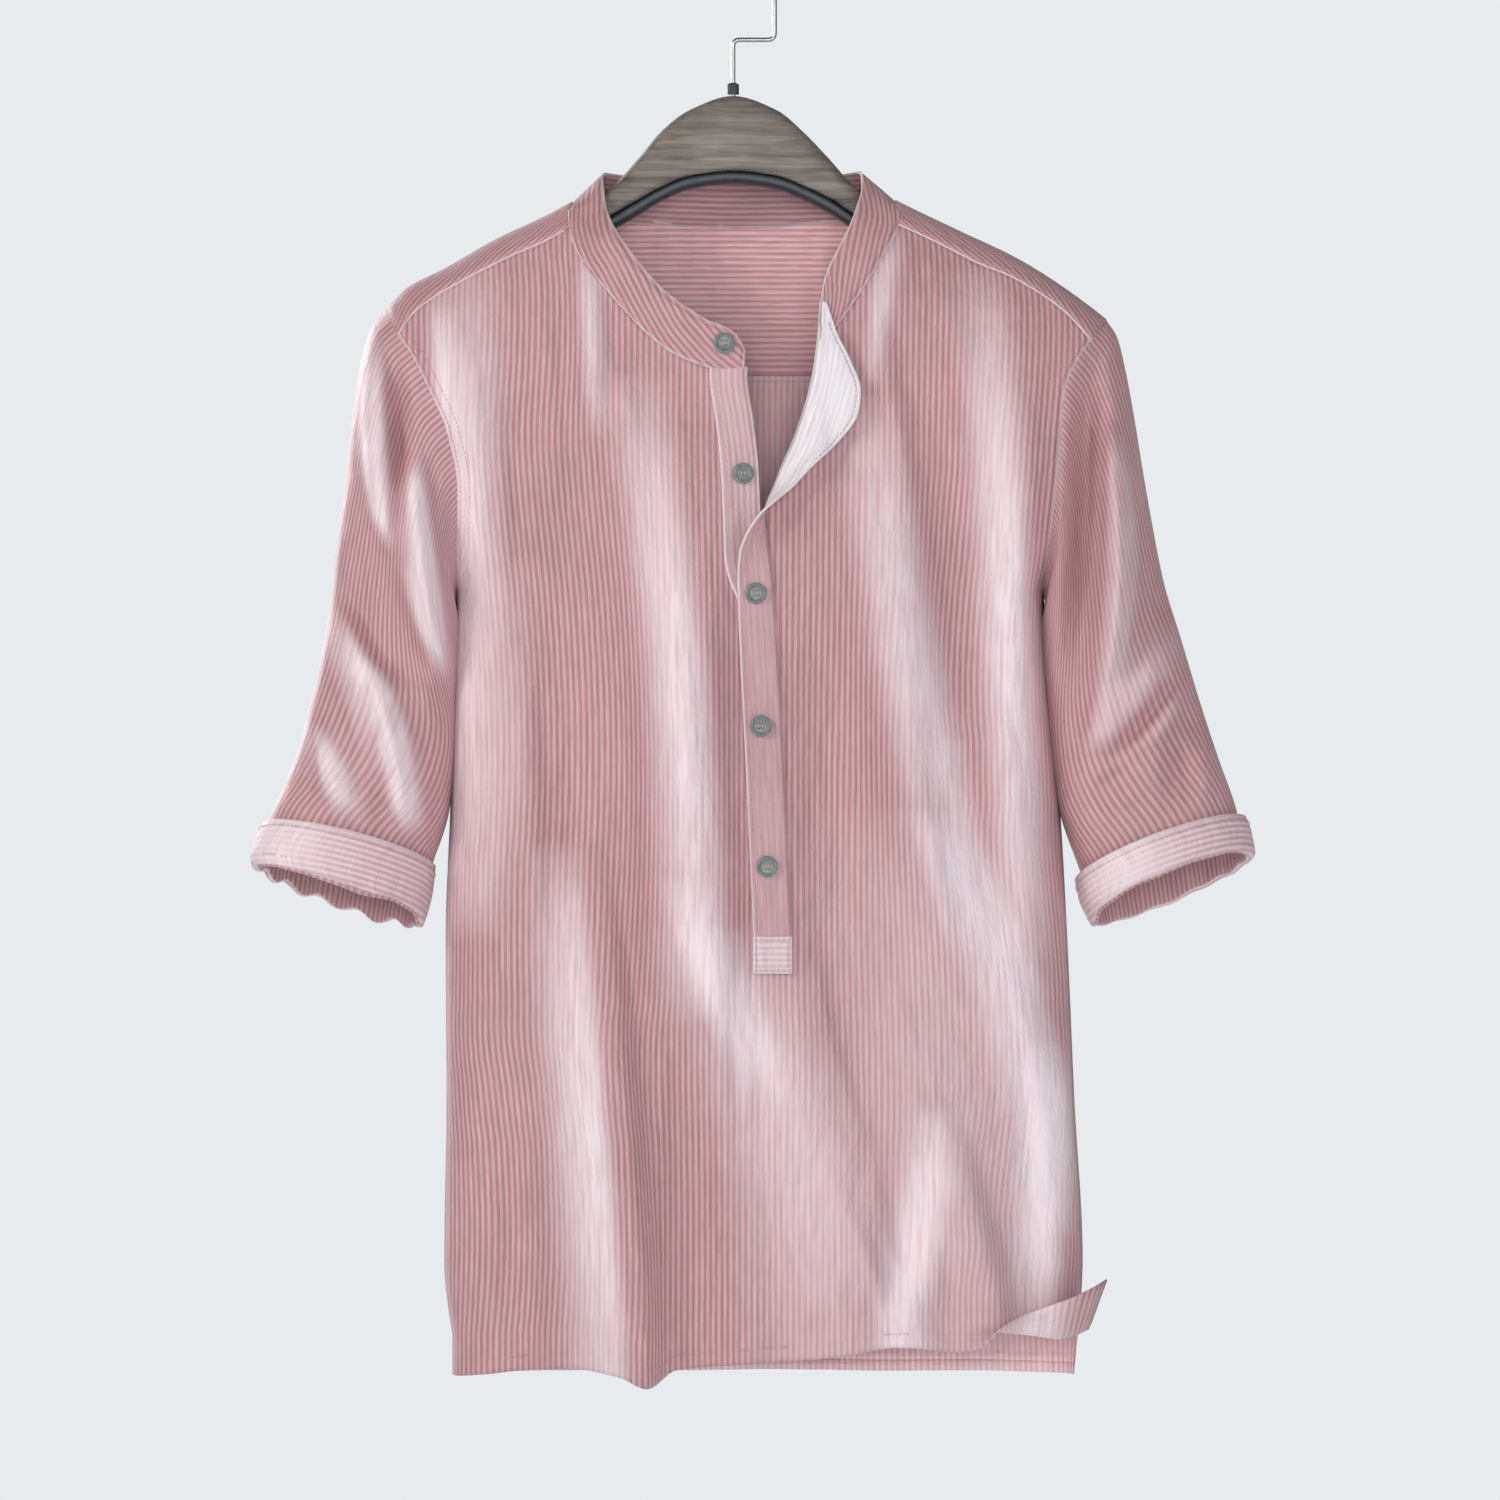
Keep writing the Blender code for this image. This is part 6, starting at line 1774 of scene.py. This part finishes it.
# Wood: long streaks of grey and brown under a thin dark stain, dull beside the cloth.
wood, wood_tree, wood_shader = new_material("dark_stained_beech", "#6b6055", 0.5)
wood_grain = solid_noise(wood_tree, (GRAIN_LENGTH, GRAIN_WIDTH * 2, GRAIN_WIDTH), 6.0, 0.65, 0.8)
mottle = solid_noise(wood_tree, (28.0, 20.0, 16.0), 4.0)
streaks = maths(wood_tree, "MULTIPLY_ADD", mottle, 0.5, wood_grain)
wood_tone = mixed(wood_tree, ranged(wood_tree, streaks, 0.45, 1.05, 0.0, 1.0),
                  linear("#3a332c"), linear("#a0958a"))
wood_tree.links.new(wood_tone, wood_shader.inputs["Base Color"])
add_bump(wood_tree, wood_shader, wood_grain, 0.35, 0.4)

# Painted shade: a nearly black, softly glossy strip whose colour stands for the shaded underside
# of the wood, a dark line that closes the neck. The ferrule takes it too.
shade_strip_and_ferrule, strip_tree, strip_shader = new_material("painted_shade_strip_and_ferrule", "#2a3036", 0.42)
strip_noise = solid_noise(strip_tree, (2.0, 2.0, 2.0), 4.0)
add_bump(strip_tree, strip_shader, strip_noise, 0.3, 0.2)
strip_tone = mixed(strip_tree, strip_noise, linear("#1e2327"), linear("#3f474d"))
strip_tree.links.new(strip_tone, strip_shader.inputs["Base Color"])

# Steel: a thin bright line with marks along it, from the die it was drawn through.
steel, steel_tree, steel_shader = new_material("drawn_steel_wire", "#a7aca9", 0.32,
                                               metallic=1.0)
draw_marks = solid_noise(steel_tree, (0.8, 0.8, 14.0), 3.0)
steel_rough = ranged(steel_tree, draw_marks, 0.3, 0.7, 0.24, 0.42)
steel_tree.links.new(steel_rough, steel_shader.inputs["Roughness"])
print("hanger materials:", [m.name for m in (wood, shade_strip_and_ferrule, steel)])

# %% Hanger
HANGER_TOP = -92.0       # mm: height of the wood's highest point
HANGER_STATIONS = 96     # sections from tip to tip
HANGER_SIDES = 40        # points round a section
WOOD_ROUND = (2.3, 7.0)  # power of the curve over the top and under the foot
STRIP_ROUND = (5.0, 2.4)
STRIP_HALF = 8.0         # mm: half the strip's depth, front to back
STRIP_SHORT = 14.0       # mm that it ends before the wood does
STRIP_CLEAR = 0.5        # mm between wood and strip
Hanger = namedtuple("Hanger", "x top foot strip half")
HANGER = [
    Hanger(-196, -211.0, -228, -236, 10.5), Hanger(-190, -207.0, -229, -237, 11.5),
    Hanger(-172, -198.4, -220, -228, 11.5), Hanger(-143, -181.8, -205, -213, 11.5),
    Hanger(-111, -166.6, -187, -195, 11.0), Hanger(-97, -159.2, -178, -186, 10.5),
    Hanger(-77, -150.0, -166.5, -175.5, 10.0), Hanger(-57, -129.6, -155.0, -164.0, 10.0),
    Hanger(-44, -114.0, -147.8, -156.0, 10.0), Hanger(-26, -100.4, -140.6, -148.2, 10.5),
    Hanger(0, -92.0, -137.6, -144.8, 11.0), Hanger(26, -100.4, -140.6, -148.2, 10.5),
    Hanger(44, -115.4, -147.4, -155.6, 10.0), Hanger(57, -129.0, -153.6, -162.4, 10.0),
    Hanger(77, -150.0, -166.5, -175.5, 10.0), Hanger(98, -159.2, -178, -186, 10.5),
    Hanger(135, -176.4, -199, -207, 11.5), Hanger(168, -191.8, -214, -222, 11.5),
    Hanger(191, -205.4, -226, -234, 11.5), Hanger(203, -214.0, -230, -238, 10.5),
]


def add_loft(name, sections, finish):
    """A closed solid through closed sections."""
    bm = bmesh.new()
    rings = [[bm.verts.new(Vector(point) * MM) for point in section] for section in sections]
    for ring, following in zip(rings, rings[1:]):
        for i in range(len(ring)):
            j = (i + 1) % len(ring)
            bm.faces.new((ring[i], ring[j], following[j], following[i]))
    bm.faces.new(rings[0])
    bm.faces.new(rings[-1])
    bmesh.ops.recalc_face_normals(bm, faces=bm.faces)
    mesh = mesh_of(bm, name)
    mesh.shade_smooth()
    mesh.set_sharp_from_angle(angle=math.radians(50))
    return add_piece(name, mesh, finish)


def sections_of(first, last, top_of, foot_of, half_of, roundness):
    """Rounded sections of a bar between its top and foot, from first to last along x."""
    sections = []
    for x in np.linspace(first, last, HANGER_STATIONS + 1):
        top, foot, half = float(top_of(x)), float(foot_of(x)), float(half_of(x))
        angle = 2 * math.pi * (np.arange(HANGER_SIDES) + 0.5) / HANGER_SIDES
        power = np.where(np.sin(angle) > 0, 2 / roundness[0], 2 / roundness[1])
        y = half * np.sign(np.cos(angle)) * np.abs(np.cos(angle)) ** power
        up = (top - foot) / 2 * np.sign(np.sin(angle)) * np.abs(np.sin(angle)) ** power
        sections.append(np.stack((0 * y + x, y, (top + foot) / 2 + up), axis=-1))
    return sections


wood_top, wood_foot, strip_foot, wood_half = (curve_of(HANGER, "x", column) for column in
                                              ("top", "foot", "strip", "half"))
hanger_body = add_loft("hanger_body", sections_of(HANGER[0].x, HANGER[-1].x, wood_top,
                                                  wood_foot, wood_half, WOOD_ROUND), wood)
hanger_shade_strip = add_loft("hanger_shade_strip",
                       sections_of(HANGER[0].x + STRIP_SHORT, HANGER[-1].x - STRIP_SHORT,
                                   lambda x: wood_foot(x) - STRIP_CLEAR, strip_foot,
                                   lambda x: STRIP_HALF, STRIP_ROUND), shade_strip_and_ferrule)

# %% Hook
HOOK_WIRE = 1.4          # mm: radius of the wire
HOOK_ARCH = 25.0         # mm: radius of the arch
HOOK_JOG = -58.2         # mm: height of the jog
HOOK_BEND = 3.6          # mm: radius of the jog's bends
HOOK_TAIL = 10.0         # mm from the arch's middle down to the free end
HOOK_FLARE = 1.0         # mm that it stands out
HOOK_IN = 6              # mm that the wire starts inside the wood


def bend_points(middle_x, middle_z, radius, first, last, steps):
    """Points on a bend of the wire, between two angles in degrees."""
    turns = np.radians(np.linspace(first, last, steps))
    return [(middle_x + radius * math.cos(t), 0, middle_z + radius * math.sin(t))
            for t in turns]


def hook_path():
    """The wire's middle line: out of the wood, the jog, the arch, the free end."""
    arch_z = HOOK_WIRE - HOOK_ARCH
    points = [(0, 0, HANGER_TOP - HOOK_IN)]
    points += bend_points(HOOK_BEND, HOOK_JOG - HOOK_BEND, HOOK_BEND, 180, 90, 9)
    points += bend_points(HOOK_ARCH - HOOK_BEND, HOOK_JOG + HOOK_BEND, HOOK_BEND, -90, 0, 9)
    points += bend_points(0, arch_z, HOOK_ARCH, 0, 180, 49)
    points.append((-HOOK_ARCH - HOOK_FLARE, 0, arch_z - HOOK_TAIL))
    return points


hook_mesh = thread_bars("hook_wire", [hook_path()], HOOK_WIRE)
hook_mesh.shade_smooth()
hook_wire = add_piece("hook_wire", hook_mesh, steel)
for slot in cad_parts["hanger_ferrule"].material_slots:
    slot.material = shade_strip_and_ferrule
print("hanger pieces:", [piece.name for piece in (hanger_body, hanger_shade_strip, hook_wire)])

# %% [markdown]
# ## What each piece stands for
#
# Every piece rides on the one body, and the solid that it replaces is hidden.
# The cloth pieces are listed with the size they were cut to, and the hanger's
# pieces with the name of their material slot.

Cut = namedtuple("Cut", "piece node width length area")
CUTS = [
    Cut(front_panel, "front", 0.44, 0.69, 0.26),
    Cut(back_panel, "back", 0.44, 0.61, 0.24),
    Cut(yoke_panel, "yoke", 0.46, 0.20, 0.055),
    Cut(collar_band_panel, "collar_band", 0.46, 0.060, 0.012),
    Cut(placket_over_panel, "placket_over", 0.036, 0.39, 0.0095),
    Cut(placket_under_panel, "placket_under", 0.024, 0.345, None),
    Cut(placket_box_panel, "placket_box", 0.024, 0.023, None),
    Cut(sleeve_left_panel, "sleeve_left", 0.40, 0.39, 0.085),
    Cut(sleeve_right_panel, "sleeve_right", 0.40, 0.39, 0.085),
    Cut(cuff_left_panel, "cuff_left", 0.30, 0.030, None),
    Cut(cuff_right_panel, "cuff_right", 0.30, 0.030, None),
]
for cut in CUTS:
    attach(cut.piece, "root")
    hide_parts(cut.node)
for piece, node, slot_name in [(hanger_body, "hanger_wood", "dark_wood"),
                               (hanger_shade_strip, "hanger_strip", "dark_trim"),
                               (hook_wire, "hanger_hook", "brushed_steel")]:
    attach(piece, "root")
    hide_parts(node)
for number, piece in enumerate(button_pieces, start=1):
    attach(piece, "root")
    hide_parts(f"button_{number}")
for piece in (body_stitching, placket_stitching, band_stitching, cuff_stitching,
              button_thread):
    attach(piece, "root")
